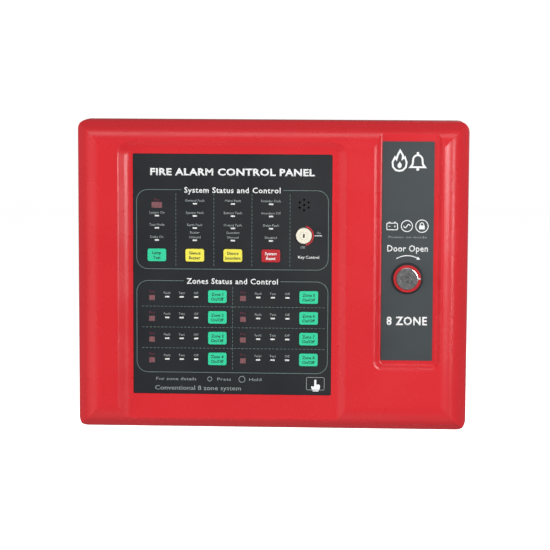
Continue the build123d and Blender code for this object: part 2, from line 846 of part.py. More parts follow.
def back_box():
    """Moulded wall box with bosses, fences, knockouts, vents, strike pad and hinge knuckles."""
    body = plate(box_width, box_height, box_front, 0, radius=box_corner)
    body = fillet(near(body.edges(), 0), 1.5)
    body -= plate(2 * inner_x, 2 * inner_z, box_front - 1, -box_wall, radius=box_corner - box_wall)
    for x, z in fixing_places:
        body += rod(fixing_pad_radius, -box_wall - fixing_pad_height, -box_wall, x, z)
        body -= rod(fixing_hole_radius, -box_wall - fixing_pad_height - 1, 1, x, z)
    for k in range(knockout_count):
        body -= knockout(knockout_pitch * (k - (knockout_count - 1) / 2))
    ring = plate(rear_knockout_width, rear_knockout_height, -box_wall + knockout_skin, 1,
                 radius=rear_knockout_corner)
    ring -= plate(rear_knockout_width - 2 * knockout_groove, rear_knockout_height - 2 * knockout_groove,
                  -box_wall, 2, radius=rear_knockout_corner - knockout_groove)
    body -= Pos(0, 0, main_board_z1 + main_board_top / 2) * ring
    for side in (-1, 1):
        body -= vents(side)
    for x, z in main_screws:
        body += rod(boss_radius, main_board_rear, -box_wall, x, z)
        body -= rod(screw_radius + screw_clearance, main_board_rear - 1, -box_wall, x, z)
    for x0 in (battery_x0 - battery_gap - fence_thickness, battery_x1 + battery_gap):
        body += block(x0, x0 + fence_thickness, battery_front, -box_wall, -inner_z,
                      -inner_z + fence_height)
    body += rod(clamp_boss, -box_wall - clamp_boss, -box_wall, battery_offset, clamp_z + clamp_flange / 2)
    body -= rod(screw_radius + screw_clearance, -box_wall - clamp_boss - 1, -box_wall, battery_offset,
                clamp_z + clamp_flange / 2)
    for x, z in transformer_feet():
        body += rod(boss_radius + 1, core_rear, -box_wall, x, z)
        body -= rod(screw_radius + screw_clearance, core_rear - 1, -box_wall, x, z)
    body += rod(boss_radius + 1, -box_wall - earth_boss, -box_wall, *earth_place())
    body -= rod(screw_radius + screw_clearance, -box_wall - earth_boss - 1, -box_wall, *earth_place())
    pad = block(inner_x - strike_pad, inner_x + 1, box_front + strike_setback + strike_thickness,
                box_front + strike_depth, lock_z - strike_height / 2, lock_z + strike_height / 2)
    body += pad
    for x, y, z in strike_screw_places():
        body -= Pos(x, y, z) * Rot(0, 90, 0) * Cylinder(screw_radius + screw_clearance, strike_pad + 2,
                                                       align=(Align.CENTER, Align.CENTER, Align.MIN))
    for side in (-1, 1):
        for end in (-1, 1):
            z0 = side * hinge_height + end * (door_knuckle / 2 + knuckle_gap)
            low, high = sorted((z0, z0 + end * box_knuckle))
            body += block(hinge_x, -box_width / 2 + 1, hinge_y - knuckle_radius, hinge_y + knuckle_radius,
                          low, high)
            body += upright(knuckle_radius, low, high, hinge_x, hinge_y)
        z = side * hinge_height
        body -= upright(hinge_pin_radius + hinge_running, z - hinge_reach - 1, z + hinge_reach + 1,
                        hinge_x, hinge_y)
    return body


def hinge_pins():
    """Headed pins through the box and cover knuckles."""
    pins = []
    for side in (-1, 1):
        z = side * hinge_height
        top = z + hinge_reach
        pins.append(upright(hinge_pin_radius, z - hinge_reach - 1, top, hinge_x, hinge_y)
                    + upright(pin_head_radius, top, top + pin_head_height, hinge_x, hinge_y))
    return pins


def strike_screw_places():
    y = box_front + strike_depth / 2 + strike_thickness
    return [(inner_x - strike_pad, y, lock_z + end * strike_screw_span / 2) for end in (-1, 1)]


def strike_plate():
    """Steel angle on the box's right wall that the cam swings behind."""
    face = inner_x - strike_pad
    y0 = box_front + strike_setback
    z0, z1 = lock_z - strike_height / 2, lock_z + strike_height / 2
    body = block(face - strike_thickness, face, y0, box_front + strike_depth, z0, z1)
    body += block(face - strike_lip, face, y0, y0 + strike_thickness, z0, z1)
    for x, y, z in strike_screw_places():
        body -= Pos(x, y, z) * Rot(0, 90, 0) * Cylinder(screw_radius + hole_gap, 4 * strike_thickness)
    return body


def strike_screws():
    """Screws through the strike into the side of the box."""
    made = []
    for x, y, z in strike_screw_places():
        turned = Rot(0, 0, 90) * screw_in(0, 0, 0, strike_pad + strike_thickness,
                                        head=strike_screw_head, height=strike_screw_head_height)
        made.append(Pos(x - strike_thickness, y, z) * Rot(0, 0, 180) * turned)
    return made


def main_board():
    body = plate(2 * main_board_x, main_board_height, main_board_front, main_board_rear, 0,
                 main_board_z, pcb_corner)
    for x, z in main_screws:
        body -= rod(screw_radius + hole_gap, main_board_front - 1, main_board_rear + 1, x, z)
    return body


def main_board_screws():
    return [screw_in(x, z, main_board_front, board_thickness + screw_bite) for x, z in main_screws]


def terminal_places():
    """Middle of each terminal block along the top edge of the main board."""
    length = terminal_pitch * terminal_poles
    gap = (2 * main_board_x - 4 * main_screw_inset - terminal_blocks * length) / (terminal_blocks - 1)
    start = -main_board_x + 2 * main_screw_inset + length / 2
    return [start + k * (length + gap) for k in range(terminal_blocks)]


def pole_places():
    z = main_board_z1 - terminal_inset - terminal_depth / 2
    return [(x + terminal_pitch * (k - (terminal_poles - 1) / 2), z)
            for x in terminal_places() for k in range(terminal_poles)]


def zone_terminals():
    """Screw terminal blocks for the zone, sounder and relay wiring."""
    z = main_board_z1 - terminal_inset - terminal_depth / 2
    top = main_board_front - terminal_height
    entry_rear = main_board_front - terminal_entry_rise
    length = terminal_pitch * terminal_poles
    blocks = []
    for x in terminal_places():
        body = plate(length, terminal_depth, top, main_board_front, x, z)
        body = chamfer(near(body.edges(), top).filter_by(Axis.X), terminal_slope)
        for k in range(terminal_poles):
            px = x + terminal_pitch * (k - (terminal_poles - 1) / 2)
            body -= rod(terminal_well_radius, top - 1, top + terminal_well_depth, px, z)
            body -= block(px - terminal_entry / 2, px + terminal_entry / 2, entry_rear - terminal_entry,
                          entry_rear, z, z + terminal_depth)
        blocks.append(body)
    return blocks


def terminal_screws():
    """Clamping screw in each well, with a slot across its head."""
    head = main_board_front - terminal_height + terminal_screw_drop
    foot = head + terminal_screw_height
    return [rod(terminal_screw_radius, head, foot, x, z)
            - plate(screw_slot, 2 * terminal_screw_radius, head - 1, head + screw_slot, x, z)
            for x, z in pole_places()]


def relays():
    """Sealed relays in a row on the main board."""
    top = main_board_front - relay_height
    return [softened(plate(relay_width, relay_length, top, main_board_front, relay_start + relay_pitch * k,
                           main_board_z + relay_rise), top) for k in range(relay_count)]


def capacitors():
    """Smoothing capacitors, standing on the main board."""
    made = []
    for (radius, height), across, up in can_places:
        top = main_board_front - height
        can = rod(radius, top, main_board_front, across - main_board_x, main_board_z + up)
        made.append(softened(can, top))
    return made


def heatsink():
    """Finned bar that cools the regulators."""
    x0 = heatsink_inset - main_board_x
    z0 = main_board_z0 + heatsink_rise
    top = main_board_front - heatsink_height
    body = block(x0, x0 + heatsink_length, top, main_board_front, z0, z0 + heatsink_bar)
    for k in range(fin_count):
        fin = x0 + k * (heatsink_length - fin_thickness) / (fin_count - 1)
        body += block(fin, fin + fin_thickness, top, main_board_front, z0 - fin_depth, z0)
    return body


def regulators():
    """Power transistors bolted to the heatsink."""
    z0 = main_board_z0 + heatsink_rise + heatsink_bar
    rear = main_board_front - regulator_stand
    half = regulator_width / 2
    made = []
    for k in range(regulator_count):
        x = heatsink_inset - main_board_x + regulator_start + regulator_pitch * k
        tab = block(x - half, x + half, rear - regulator_tab, rear, z0, z0 + regulator_tab_thickness)
        case = block(x - half, x + half, rear - regulator_body, rear, z0, z0 + regulator_thickness)
        made.append(tab + case)
    return made


def fuse_places():
    start = main_board_x - fuse_inset
    return [(start + fuse_pitch * k, main_board_z0 + fuse_rise) for k in range(fuse_count)]


def fuse_holders():
    """Open fuse holders, each with a base and two clips."""
    made = []
    face = main_board_front - holder_base
    top = main_board_front - holder_height
    for x, z in fuse_places():
        base = plate(holder_width, holder_depth, face, main_board_front, x, z)
        for end in (-1, 1):
            middle = x + end * (holder_width / 2 - clip_inset)
            base += plate(clip_width, holder_depth - 0.4, top, face, middle, z)
            base -= plate(clip_width + 0.2, 2 * (fuse_radius + hole_gap), top - 1, face - 0.4, middle, z)
        made.append(base)
    return made


def glass_fuses():
    """Glass fuses with their end caps, held in the clips."""
    body = Cylinder(fuse_radius, fuse_length)
    cap = Cylinder(fuse_radius + fuse_cap_wall, fuse_cap)
    for end in (-1, 1):
        body += Pos(0, 0, end * (fuse_length - fuse_cap) / 2) * cap
    return [Pos(x, main_board_front - fuse_lift, z) * Rot(0, 90, 0) * body for x, z in fuse_places()]


def transformer_feet():
    return [(transformer_offset + end * (core_width + foot_length) / 2, transformer_z) for end in (-1, 1)]


def transformer_core():
    """Laminated core with its steel mounting frame."""
    y0 = core_rear - core_stack
    window = core_width / 2 - 2 * core_leg
    body = plate(core_width, core_height, y0, core_rear, transformer_offset, transformer_z)
    for end in (-1, 1):
        body -= plate(window, core_height - 2 * core_leg, y0 - 1, core_rear + 1,
                      transformer_offset + end * (core_leg + window / 2), transformer_z)
    frame = []
    for end in (-1, 1):
        x = transformer_offset + end * core_width / 2
        z0, z1 = transformer_z - foot_width / 2, transformer_z + foot_width / 2
        foot = block(*sorted((x, x + end * foot_length)), core_rear - foot_thickness, core_rear, z0, z1)
        foot += block(*sorted((x, x + end * foot_thickness)), y0, core_rear, z0, z1)
        foot -= rod(screw_radius + hole_gap, core_rear - foot_thickness - 1, core_rear + 1,
                    x + end * foot_length / 2, transformer_z)
        frame.append(foot)
    return [body] + frame


def transformer_coil():
    y = core_rear - core_stack / 2
    window = core_width / 2 - 2 * core_leg
    body = plate(2 * (core_leg + window - coil_gap), core_height - 2 * core_leg - 2 * coil_gap,
                 y - coil_depth / 2, y + coil_depth / 2, transformer_offset, transformer_z, 0)
    body = fillet(body.edges().filter_by(Axis.Z), coil_edge)
    return body - plate(2 * (core_leg + coil_gap), core_height, y - core_stack / 2 - coil_gap,
                        y + core_stack / 2 + coil_gap, transformer_offset, transformer_z)


def transformer_screws():
    return [screw_in(x, z, core_rear - foot_thickness, foot_screw_length) for x, z in transformer_feet()]


def mains_terminal():
    """Three pole mains block above the transformer."""
    z0 = transformer_z + core_height / 2 + mains_gap
    top = -box_wall - mains_height
    entry_rear = -box_wall - mains_entry + 1
    body = block(transformer_offset - mains_width / 2, transformer_offset + mains_width / 2, top, -box_wall,
                 z0, z0 + mains_depth)
    for k in (-1, 0, 1):
        x = transformer_offset + mains_pitch * k
        body -= rod(mains_well_radius, top - 1, top + 4, x, z0 + mains_depth / 2)
        body -= block(x - mains_entry / 2, x + mains_entry / 2, entry_rear - mains_entry, entry_rear,
                      z0 - 1, z0 + mains_entry)
    return body


def earth_place():
    return (inner_x - earth_inset, transformer_z + core_height / 2 + earth_rise)


def earth_stud():
    """Earth terminal screw with its washer."""
    x, z = earth_place()
    seat = -box_wall - earth_boss
    washer = rod(washer_radius, seat - washer_thickness, seat, x, z)
    washer -= rod(screw_radius + hole_gap, seat - 2, seat + 1, x, z)
    return [screw_in(x, z, seat - washer_thickness, 4.4, head=3.4, height=2.2), washer]


def battery(rear):
    """Sealed battery case with a groove under its lid."""
    body = block(battery_x0, battery_x1, rear - battery_thickness, rear, battery_z0, battery_z1)
    body = fillet(body.edges().filter_by(Axis.Z), battery_edge)
    lid = block(battery_x0 - 1, battery_x1 + 1, rear - battery_thickness - 1, rear + 1,
                battery_z1 - lid_drop - lid_groove, battery_z1 - lid_drop)
    core = block(battery_x0 + lid_groove_depth, battery_x1 - lid_groove_depth,
                 rear - battery_thickness + lid_groove_depth, rear - lid_groove_depth,
                 battery_z0, battery_z1)
    return body - (lid - core)


def battery_terminals():
    """Flat blade terminals, two on each battery."""
    made = []
    for n in range(2):
        y = -box_wall - battery_gap - battery_thickness / 2 - n * (battery_thickness + battery_gap)
        for end in (-1, 1):
            x = battery_offset + end * (battery_length / 2 - tab_inset)
            foot = Pos(x, y, battery_z1)
            seat = (Align.CENTER, Align.CENTER, Align.MIN)
            made.append(foot * Box(tab_width, tab_thickness, tab_height, align=seat)
                        + foot * Box(*tab_base, align=seat))
    return made


def battery_clamp():
    """Steel strap over the batteries, screwed to the back of the box."""
    x0, x1 = battery_offset - clamp_width / 2, battery_offset + clamp_width / 2
    rear = -box_wall - clamp_boss
    out = battery_front - battery_gap - clamp_thickness
    body = block(x0, x1, out, rear, clamp_z, clamp_z + clamp_thickness)
    body += block(x0, x1, out, out + clamp_thickness, clamp_z + clamp_thickness - clamp_drop,
                  clamp_z + clamp_thickness)
    body += block(x0, x1, rear - clamp_thickness, rear, clamp_z, clamp_z + clamp_flange)
    return body - rod(screw_radius + hole_gap, rear - 3, rear + 1, battery_offset,
                      clamp_z + clamp_flange / 2)


def battery_clamp_screw():
    return screw_in(battery_offset, clamp_z + clamp_flange / 2,
                    -box_wall - clamp_boss - clamp_thickness, clamp_boss + 0.5)


battery_step = battery_thickness + battery_gap
pieces = {
    "back_box": back_box(),
    "hinge_pins": hinge_pins(),
    "strike_plate": strike_plate(),
    "strike_screws": strike_screws(),
    "main_board": main_board(),
    "main_board_screws": main_board_screws(),
    "zone_terminals": zone_terminals(),
    "terminal_screws": terminal_screws(),
    "relays": relays(),
    "capacitors": capacitors(),
    "heatsink": heatsink(),
    "regulators": regulators(),
    "fuse_holders": fuse_holders(),
    "glass_fuses": glass_fuses(),
    "main_ribbon_header": header(0, main_board_z - main_header_drop, main_board_front, -1),
    "transformer_core": transformer_core(),
    "transformer_coil": transformer_coil(),
    "transformer_screws": transformer_screws(),
    "mains_terminal": mains_terminal(),
    "earth_stud": earth_stud(),
    "battery_rear": battery(-box_wall - battery_gap),
    "battery_front": battery(-box_wall - battery_gap - battery_step),
    "battery_terminals": battery_terminals(),
    "battery_clamp": battery_clamp(),
    "battery_clamp_screw": battery_clamp_screw(),
    "door_cover": door_cover(),
    "fascia_plate": fascia_plate(),
    "fire_lenses": fire_lenses(),
    "status_lenses": status_lenses(),
    "fire_leds": fire_leds(),
    "status_leds": status_leds(),
    "tact_switches": tact_switches(),
    "display_board": display_board(),
    "display_board_screws": display_board_screws(),
    "display_controller": display_controller(),
    "display_ribbon_header": header(fascia_x, fascia_z - display_header_drop, display_rear, 1),
    "buzzer": buzzer(),
    "lock_label": lock_label(),
    "lock_escutcheon": lock_escutcheon(),
    "lock_index_ring": lock_index_ring(),
    "lock_body": lock_body(),
    "lock_nut": lock_nut(),
    "lock_plug": lock_plug(),
    "lock_cam": lock_cam(),
    "lock_cam_screw": lock_cam_screw(),
    "key_switch_body": key_switch_body(),
    "key_switch_nut": key_switch_nut(),
    "key_switch_plug": key_switch_plug(),
}
pieces.update({name: key(x, z) for name, (x, z) in key_places.items()})

os.makedirs("parts", exist_ok=True)
for name, shape in pieces.items():
    solids = [s for part in (shape if isinstance(shape, list) else [shape]) for s in part.solids()]
    export_step(Compound(children=solids), f"parts/{name}.step")
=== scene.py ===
"""Finish, print, fine detail and studio for a fire alarm control panel whose frame comes from CAD."""
import json
import math
import random

import bmesh
import bpy
from bpy.props import FloatProperty, FloatVectorProperty, IntProperty, PointerProperty
from bpy.types import Operator, Panel, PropertyGroup
from mathutils import Matrix, Vector


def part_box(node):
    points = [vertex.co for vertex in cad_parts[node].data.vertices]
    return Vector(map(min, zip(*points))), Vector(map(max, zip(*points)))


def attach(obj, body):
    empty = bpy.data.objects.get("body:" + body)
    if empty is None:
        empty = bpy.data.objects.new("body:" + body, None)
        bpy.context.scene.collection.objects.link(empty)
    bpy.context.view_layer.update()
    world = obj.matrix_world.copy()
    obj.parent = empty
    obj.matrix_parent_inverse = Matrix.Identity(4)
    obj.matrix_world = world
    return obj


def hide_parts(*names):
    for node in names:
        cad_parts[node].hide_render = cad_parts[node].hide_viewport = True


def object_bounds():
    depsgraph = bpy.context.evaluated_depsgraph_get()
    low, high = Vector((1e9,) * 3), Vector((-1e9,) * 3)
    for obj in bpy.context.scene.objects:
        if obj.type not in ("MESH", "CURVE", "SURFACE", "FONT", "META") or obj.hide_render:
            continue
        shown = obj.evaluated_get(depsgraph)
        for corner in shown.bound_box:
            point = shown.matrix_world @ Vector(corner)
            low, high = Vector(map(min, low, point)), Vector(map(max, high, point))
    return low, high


bl_info = {
    "name": "Fire Alarm Panel Finish",
    "version": (1, 0, 0),
    "blender": (4, 5, 0),
    "location": "3D View > Sidebar > Alarm Panel",
    "description": "Dresses the CAD frame of a fire alarm control panel with finishes, print and fine detail",
    "category": "Object",
}

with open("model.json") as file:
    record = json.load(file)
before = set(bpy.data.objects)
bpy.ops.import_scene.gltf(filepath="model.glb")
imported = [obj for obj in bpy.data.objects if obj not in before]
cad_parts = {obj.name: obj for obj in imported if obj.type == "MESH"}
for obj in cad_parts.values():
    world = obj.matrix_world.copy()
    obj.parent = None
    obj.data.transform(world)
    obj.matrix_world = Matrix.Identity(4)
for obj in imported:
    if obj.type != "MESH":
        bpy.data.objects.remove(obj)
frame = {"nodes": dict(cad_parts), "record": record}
CAD_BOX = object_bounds()
MM = 0.001

# Bodies that the pieces ride on, and the way along Y that a face looks
DOOR = "door"
BOX = "wall_box"
FRONT = -1
REAR = 1

# Capital height of Blender's own font as a share of its size
CAP_SHARE = 0.729

# Every finish by name, filled by the first step
MATERIALS = {}


# Sizes and colours that a user would change

def size(name, description, default):
    """Length property in metres, whose default is given in millimetres."""
    return FloatProperty(name=name, description=description, default=default * MM, min=0.0,
                         subtype="DISTANCE", unit="LENGTH", precision=5)


def offset(name, description, default):
    """Length property that may be negative, whose default is given in millimetres."""
    return FloatProperty(name=name, description=description, default=default * MM, subtype="DISTANCE",
                         unit="LENGTH")


def angle(name, description, default):
    """Angle property, whose default is given in degrees."""
    return FloatProperty(name=name, description=description, default=math.radians(default),
                         subtype="ANGLE", unit="ROTATION")


def power(name, description, default):
    """Power of a light in watts."""
    return FloatProperty(name=name, description=description, default=default, min=0.0, subtype="POWER",
                         unit="POWER")


def strength(name, description, default):
    """Plain brightness."""
    return FloatProperty(name=name, description=description, default=default, min=0.0)


def tint(name, description, default):
    """Linear colour property."""
    return FloatVectorProperty(name=name, description=description, default=default, size=3, min=0.0,
                               max=1.0, subtype="COLOR")


class PanelColours(PropertyGroup):
    cover: tint("Cover red", "Moulded cover and wall box", (0.60, 0.020, 0.027))
    fascia: tint("Fascia grey", "Printed control plate", (0.011, 0.013, 0.016))
    # Label grey is the label's own dark grey, made lighter than the fascia grey to paint in a sheen on the
    # label
    label: tint("Label grey", "Printed label round the lock", (0.040, 0.049, 0.053))
    green: tint("Green keys", "Zone keys and lamp test", (0.030, 0.560, 0.300))
    yellow: tint("Yellow keys", "Silence keys", (0.800, 0.720, 0.080))
    red: tint("Red key", "Reset key", (0.420, 0.016, 0.022))
    ink: tint("White ink", "Headings, legends and frames", (0.78, 0.80, 0.80))
    faint: tint("Grey ink", "Small words beside the windows", (0.27, 0.30, 0.30))
    line: tint("Line ink", "Frames and dashes on the fascia", (0.13, 0.19, 0.175))
    alarm: tint("Alarm windows", "Fire windows of the fascia", (0.200, 0.085, 0.095))
    status: tint("Status windows", "Small windows of the fascia", (0.72, 0.74, 0.72))


class PanelPrint(PropertyGroup):
    thickness: size("Ink thickness", "How far the print stands out of its face", 0.03)
    title: size("Title height", "Capital height of the title", 6.6)
    title_width: size("Title width", "Length of the title line", 154.6)
    title_drop: size("Title drop", "Top of the fascia to the middle of the title", 16.6)
    heading: size("Heading height", "Capital height of the group headings", 5.4)
    small: size("Small height", "Capital height of the words by the windows", 2.3)
    legend: size("Legend height", "Capital height of the key legends", 2.9)
    frame_line: size("Frame line", "Width of the frames round the groups", 0.5)
    frame_radius: size("Frame radius", "Corner radius of the frames", 10.5)
    frame_side: size("Frame side", "Fascia edge to the frames", 3.3)
    frame_below: size("Frame below", "Keys to the frame under them", 6.2)
    dash: size("Dash length", "Length of one dash", 2.2)
    dash_pitch: size("Dash pitch", "Start of one dash to the next", 3.6)
    dash_width: size("Dash width", "Width of the dashed lines", 0.4)


class PanelElectronics(PropertyGroup):
    chip_length: size("Chip part length", "Length of a chip resistor or capacitor", 3.2)
    chip_spacing: size("Chip part spacing", "Least distance between chip parts", 6.2)
    seed: IntProperty(name="Seed", description="Layout of the chip parts", default=7, min=0)
    lamination: size("Lamination pitch", "Pitch of the transformer's plates", 1.0)
    wire: size("Winding wire", "Diameter of the winding wire", 1.1)
    solder: size("Solder joint", "Radius of a solder joint", 0.85)


class PanelRibs(PropertyGroup):
    pitch: size("Rib pitch", "Distance from rib to rib", 26.0)
    thickness: size("Rib thickness", "Thickness of one rib", 1.4)
    depth: size("Rib foot", "How far a rib stands out at its rear end", 1.8)
    reach: size("Rib reach", "How far a rib stands out at its front end", 10.0)
    lean: size("Rib lean", "How far the rim leans in at the front end of a rib", 5.4)
    rise: size("Rim rise", "Cover's front face to where its rim starts to lean", 21.0)
    front: size("Rib front", "Cover's front face to the front of a rib", 13.0)
    wall: size("Cover wall", "Thickness of the cover that a rib grows from", 2.6)
    inset: size("Rib inset", "Cover's corner to the first rib", 30.0)
    clear: size("Rib clearance", "Rear of a rib to the rim of the box", 1.5)


class PanelStudio(PropertyGroup):
    front_power: power("Front light", "Power of the soft light in front", 44.0)
    side_power: power("Side light", "Power of the tall light on the right", 6.5)
    left_power: power("Left light", "Power of the soft light on the left", 58.0)
    top_power: power("Top light", "Power of the wide light above", 10.0)
    low_power: power("Low light", "Power of the wide light below", 17.0)
    back_power: power("Back light", "Power of the light on the rear", 36.0)
    sky: strength("Sky", "Strength of the even light from all round", 0.15)
    glow: strength("Glow", "Brightness of the floor's own even light", 0.85)
    floor_drop: size("Floor drop", "Lowest edge of the panel to the floor", 330.0)
    floor_reach: size("Floor reach", "Middle of the floor to where it turns up", 7000.0)
    floor_rim: size("Floor rim", "Height and radius of the floor's turned up edge", 1500.0)
    lens: FloatProperty(name="Lens", description="Focal length on a 36 mm sensor", default=130.9, min=1.0,
                        subtype="DISTANCE_CAMERA")
    distance: size("Camera distance", "Wall plane to the camera along its axis", 1983.9)
    pitch: angle("Pitch", "Camera's downward tilt", 6.32)
    yaw: angle("Yaw", "Camera's turn to the left", -2.674)
    roll: angle("Roll", "Camera's roll", 0.254)
    aim_x: offset("Aim X", "Camera axis from the panel's middle, across", -1.3)
    aim_z: offset("Aim Z", "Camera axis from the panel's middle, up", -9.35)


# Places read from the frame

def islands(node):
    """Boxes of a node's separate solids, from the top row down and from left to right."""
    source = bmesh.new()
    source.from_mesh(frame["nodes"][node].data)
    bmesh.ops.remove_doubles(source, verts=source.verts, dist=1e-6)
    left = set(source.verts)
    found = []
    while left:
        stack = [left.pop()]
        group = [stack[0]]
        while stack:
            for edge in stack.pop().link_edges:
                for vert in edge.verts:
                    if vert in left:
                        left.remove(vert)
                        stack.append(vert)
                        group.append(vert)
        found.append(tuple(Vector(pick(v.co[i] for v in group) for i in range(3)) for pick in (min, max)))
    source.free()
    return sorted(found, key=lambda b: (-round(middle(b).z, 3), middle(b).x))


def middle(box):
    return (box[0] + box[1]) / 2


def lanes(boxes, axis):
    """Places along X (0) or Z (2) on which the middles of the boxes stand, in order."""
    return sorted({round(middle(box)[axis], 4) for box in boxes})


# Mesh building

class Build:
    """Closed shapes gathered into one mesh, each in one of the piece's materials."""

    def __init__(self, name, body, slot, materials):
        self.name, self.body, self.slot = name, body, slot
        self.materials = list(materials.values())
        self.index = {key: i for i, key in enumerate(materials)}
        self.mesh = bmesh.new()

    def claim(self, faces, finish):
        for face in faces:
            face.material_index = self.index[finish]

    def block(self, low, high, finish, bevel=0.0):
        """Box between two corners, with its edges eased."""
        low, high = Vector(low), Vector(high)
        made = bmesh.ops.create_cube(self.mesh, size=1.0)["verts"]
        for vert in made:
            vert.co = Vector(a + (b - a) * (c + 0.5) for a, b, c in zip(low, high, vert.co))
        faces = {f for v in made for f in v.link_faces}
        self.claim(faces, finish)
        if bevel:
            edges = list({e for f in faces for e in f.edges})
            bmesh.ops.bevel(self.mesh, geom=edges, offset=bevel, segments=2, profile=0.6, affect="EDGES",
                            clamp_overlap=True)

    def turned(self, profile, centre, axis, finish, segments=24):
        """Solid of revolution from (radius, height) pairs along an axis, closed at both ends."""
        turn = Vector((0, 0, 1)).rotation_difference(Vector(axis)).to_matrix()
        rings = []
        for radius, height in profile:
            if radius < 1e-9:
                ring = [self.mesh.verts.new(turn @ Vector((0, 0, height)) + Vector(centre))]
            else:
                steps = [2 * math.pi * k / segments for k in range(segments)]
                spots = [Vector((radius * math.cos(t), radius * math.sin(t), height)) for t in steps]
                ring = [self.mesh.verts.new(turn @ spot + Vector(centre)) for spot in spots]
            rings.append(ring)
        faces = []
        for low, high in zip(rings, rings[1:]):
            for k in range(segments):
                corners = [low[k % len(low)], low[(k + 1) % len(low)],
                           high[(k + 1) % len(high)], high[k % len(high)]]
                corners = [v for n, v in enumerate(corners) if v not in corners[:n]]
                faces.append(self.mesh.faces.new(corners))
        for ring in (rings[0], rings[-1]):
            if len(ring) > 1:
                faces.append(self.mesh.faces.new(ring))
        self.claim(faces, finish)

    def prism(self, outline, y0, y1, finish):
        """Flat shape with its outline in X and Z, from depth y0 to y1."""
        near_ring = [self.mesh.verts.new((x, y0, z)) for x, z in outline]
        far_ring = [self.mesh.verts.new((x, y1, z)) for x, z in outline]
        faces = [self.mesh.faces.new(near_ring), self.mesh.faces.new(far_ring)]
        count = len(outline)
        for k in range(count):
            after = (k + 1) % count
            corners = (near_ring[k], near_ring[after], far_ring[after], far_ring[k])
            faces.append(self.mesh.faces.new(corners))
        self.claim(faces, finish)

    def as_mesh(self):
        """The gathered shapes as a mesh of their own."""
        data = bpy.data.meshes.new(self.name)
        self.mesh.to_mesh(data)
        self.mesh.free()
        return data

    def finish(self, smooth=None):
        """Object at the origin that rides on the body."""
        bmesh.ops.recalc_face_normals(self.mesh, faces=self.mesh.faces)
        return place(self.as_mesh(), self.name, self.body, self.materials, smooth)


def place(data, name, body, materials, smooth=None):
    """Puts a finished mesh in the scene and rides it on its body."""
    kept = [face.material_index for face in data.polygons]
    data.materials.clear()
    for material in materials:
        data.materials.append(material)
    data.polygons.foreach_set("material_index", kept)
    piece = bpy.data.objects.new(name, data)
    bpy.context.scene.collection.objects.link(piece)
    if smooth is not None:
        data.shade_smooth()
        data.set_sharp_from_angle(angle=math.radians(smooth))
    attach(piece, body)
    return piece


class Print(Build):
    """Ink on one flat face of a body, looking to the front or to the rear."""

    def __init__(self, name, body, slot, inks, face, facing=FRONT):
        super().__init__(name, body, slot, inks)
        self.face, self.facing = face, facing
        self.thickness = bpy.context.scene.panel_print.thickness

    def depths(self):
        return self.face - self.facing * self.thickness / 3, self.face + self.facing * self.thickness

    def shape(self, outline, ink):
        self.prism(outline, *self.depths(), ink)

    def disc(self, x, z, radius, ink, steps=24):
        self.shape(arc(x, z, radius, 0, 360 * (1 - 1 / steps), steps - 1), ink)

    def stroke(self, points, width, ink, closed=False):
        """Band of even width that follows points in X and Z, with mitred corners."""
        points = [Vector(p) for p in points]
        count = len(points)
        rows = []
        for k, point in enumerate(points):
            before = points[k - 1] if k or closed else point
            after = points[(k + 1) % count] if k < count - 1 or closed else point
            into, out = point - before, after - point
            into = (into if into.length else out).normalized()
            out = (out if out.length else into).normalized()
            side = Vector((-into.y - out.y, into.x + out.x)).normalized()
            reach = width / 2 / max(side.dot(Vector((-into.y, into.x))), 0.3)
            rows.append([self.mesh.verts.new((p.x, y, p.y)) for y in self.depths()
                         for p in (point + side * reach, point - side * reach)])
        faces = []
        for k in range(count if closed else count - 1):
            one, two = rows[k], rows[(k + 1) % count]
            for a, b in ((0, 1), (1, 3), (3, 2), (2, 0)):
                faces.append(self.mesh.faces.new((one[a], one[b], two[b], two[a])))
        if not closed:
            for row in (rows[0], rows[-1]):
                faces.append(self.mesh.faces.new((row[0], row[1], row[3], row[2])))
        self.claim(faces, ink)

    def ring(self, x, z, radius, width, ink, steps=32):
        self.stroke(arc(x, z, radius, 0, 360 * (1 - 1 / steps), steps - 1), width, ink, closed=True)

    def words(self, text, cap, x, z, ink, weight=0.0, width=None, spacing=1.0):
        """Line of letters centred on (x, z), cap high and fitted to width when one is given."""
        data = bpy.data.curves.new("words", "FONT")
        data.body = text
        data.align_x = "CENTER"
        data.size = cap / CAP_SHARE
        data.offset = weight * cap
        data.space_character = spacing
        data.resolution_u = 2
        line = bpy.data.objects.new("words", data)
        bpy.context.scene.collection.objects.link(line)
        bpy.context.view_layer.update()
        flat = bpy.data.meshes.new_from_object(line.evaluated_get(bpy.context.evaluated_depsgraph_get()))
        bpy.data.objects.remove(line)
        bpy.data.curves.remove(data)
        reach = [v.co.x for v in flat.vertices]
        centre = (min(reach) + max(reach)) / 2
        stretch = width / (max(reach) - min(reach)) if width else 1.0
        letters = bmesh.new()
        letters.from_mesh(flat)
        bpy.data.meshes.remove(flat)
        bmesh.ops.remove_doubles(letters, verts=letters.verts, dist=cap * 1e-4)
        inner, outer = self.depths()
        for vert in letters.verts:
            across = (vert.co.x - centre) * stretch
            vert.co = Vector((x - self.facing * across, inner, z - cap / 2 + vert.co.y))
        raised = bmesh.ops.extrude_face_region(letters, geom=letters.faces)
        for item in raised["geom"]:
            if isinstance(item, bmesh.types.BMVert):
                item.co.y = outer
        for face in letters.faces:
            face.material_index = self.index[ink]
        whole = bpy.data.meshes.new("words")
        letters.to_mesh(whole)
        letters.free()
        self.mesh.from_mesh(whole)
        bpy.data.meshes.remove(whole)


def arc(x, z, radius, start, end, steps):
    """Points along an arc, in degrees anticlockwise from +X as seen from the front."""
    return [(x + radius * math.cos(math.radians(start + (end - start) * k / steps)),
             z + radius * math.sin(math.radians(start + (end - start) * k / steps)))
            for k in range(steps + 1)]


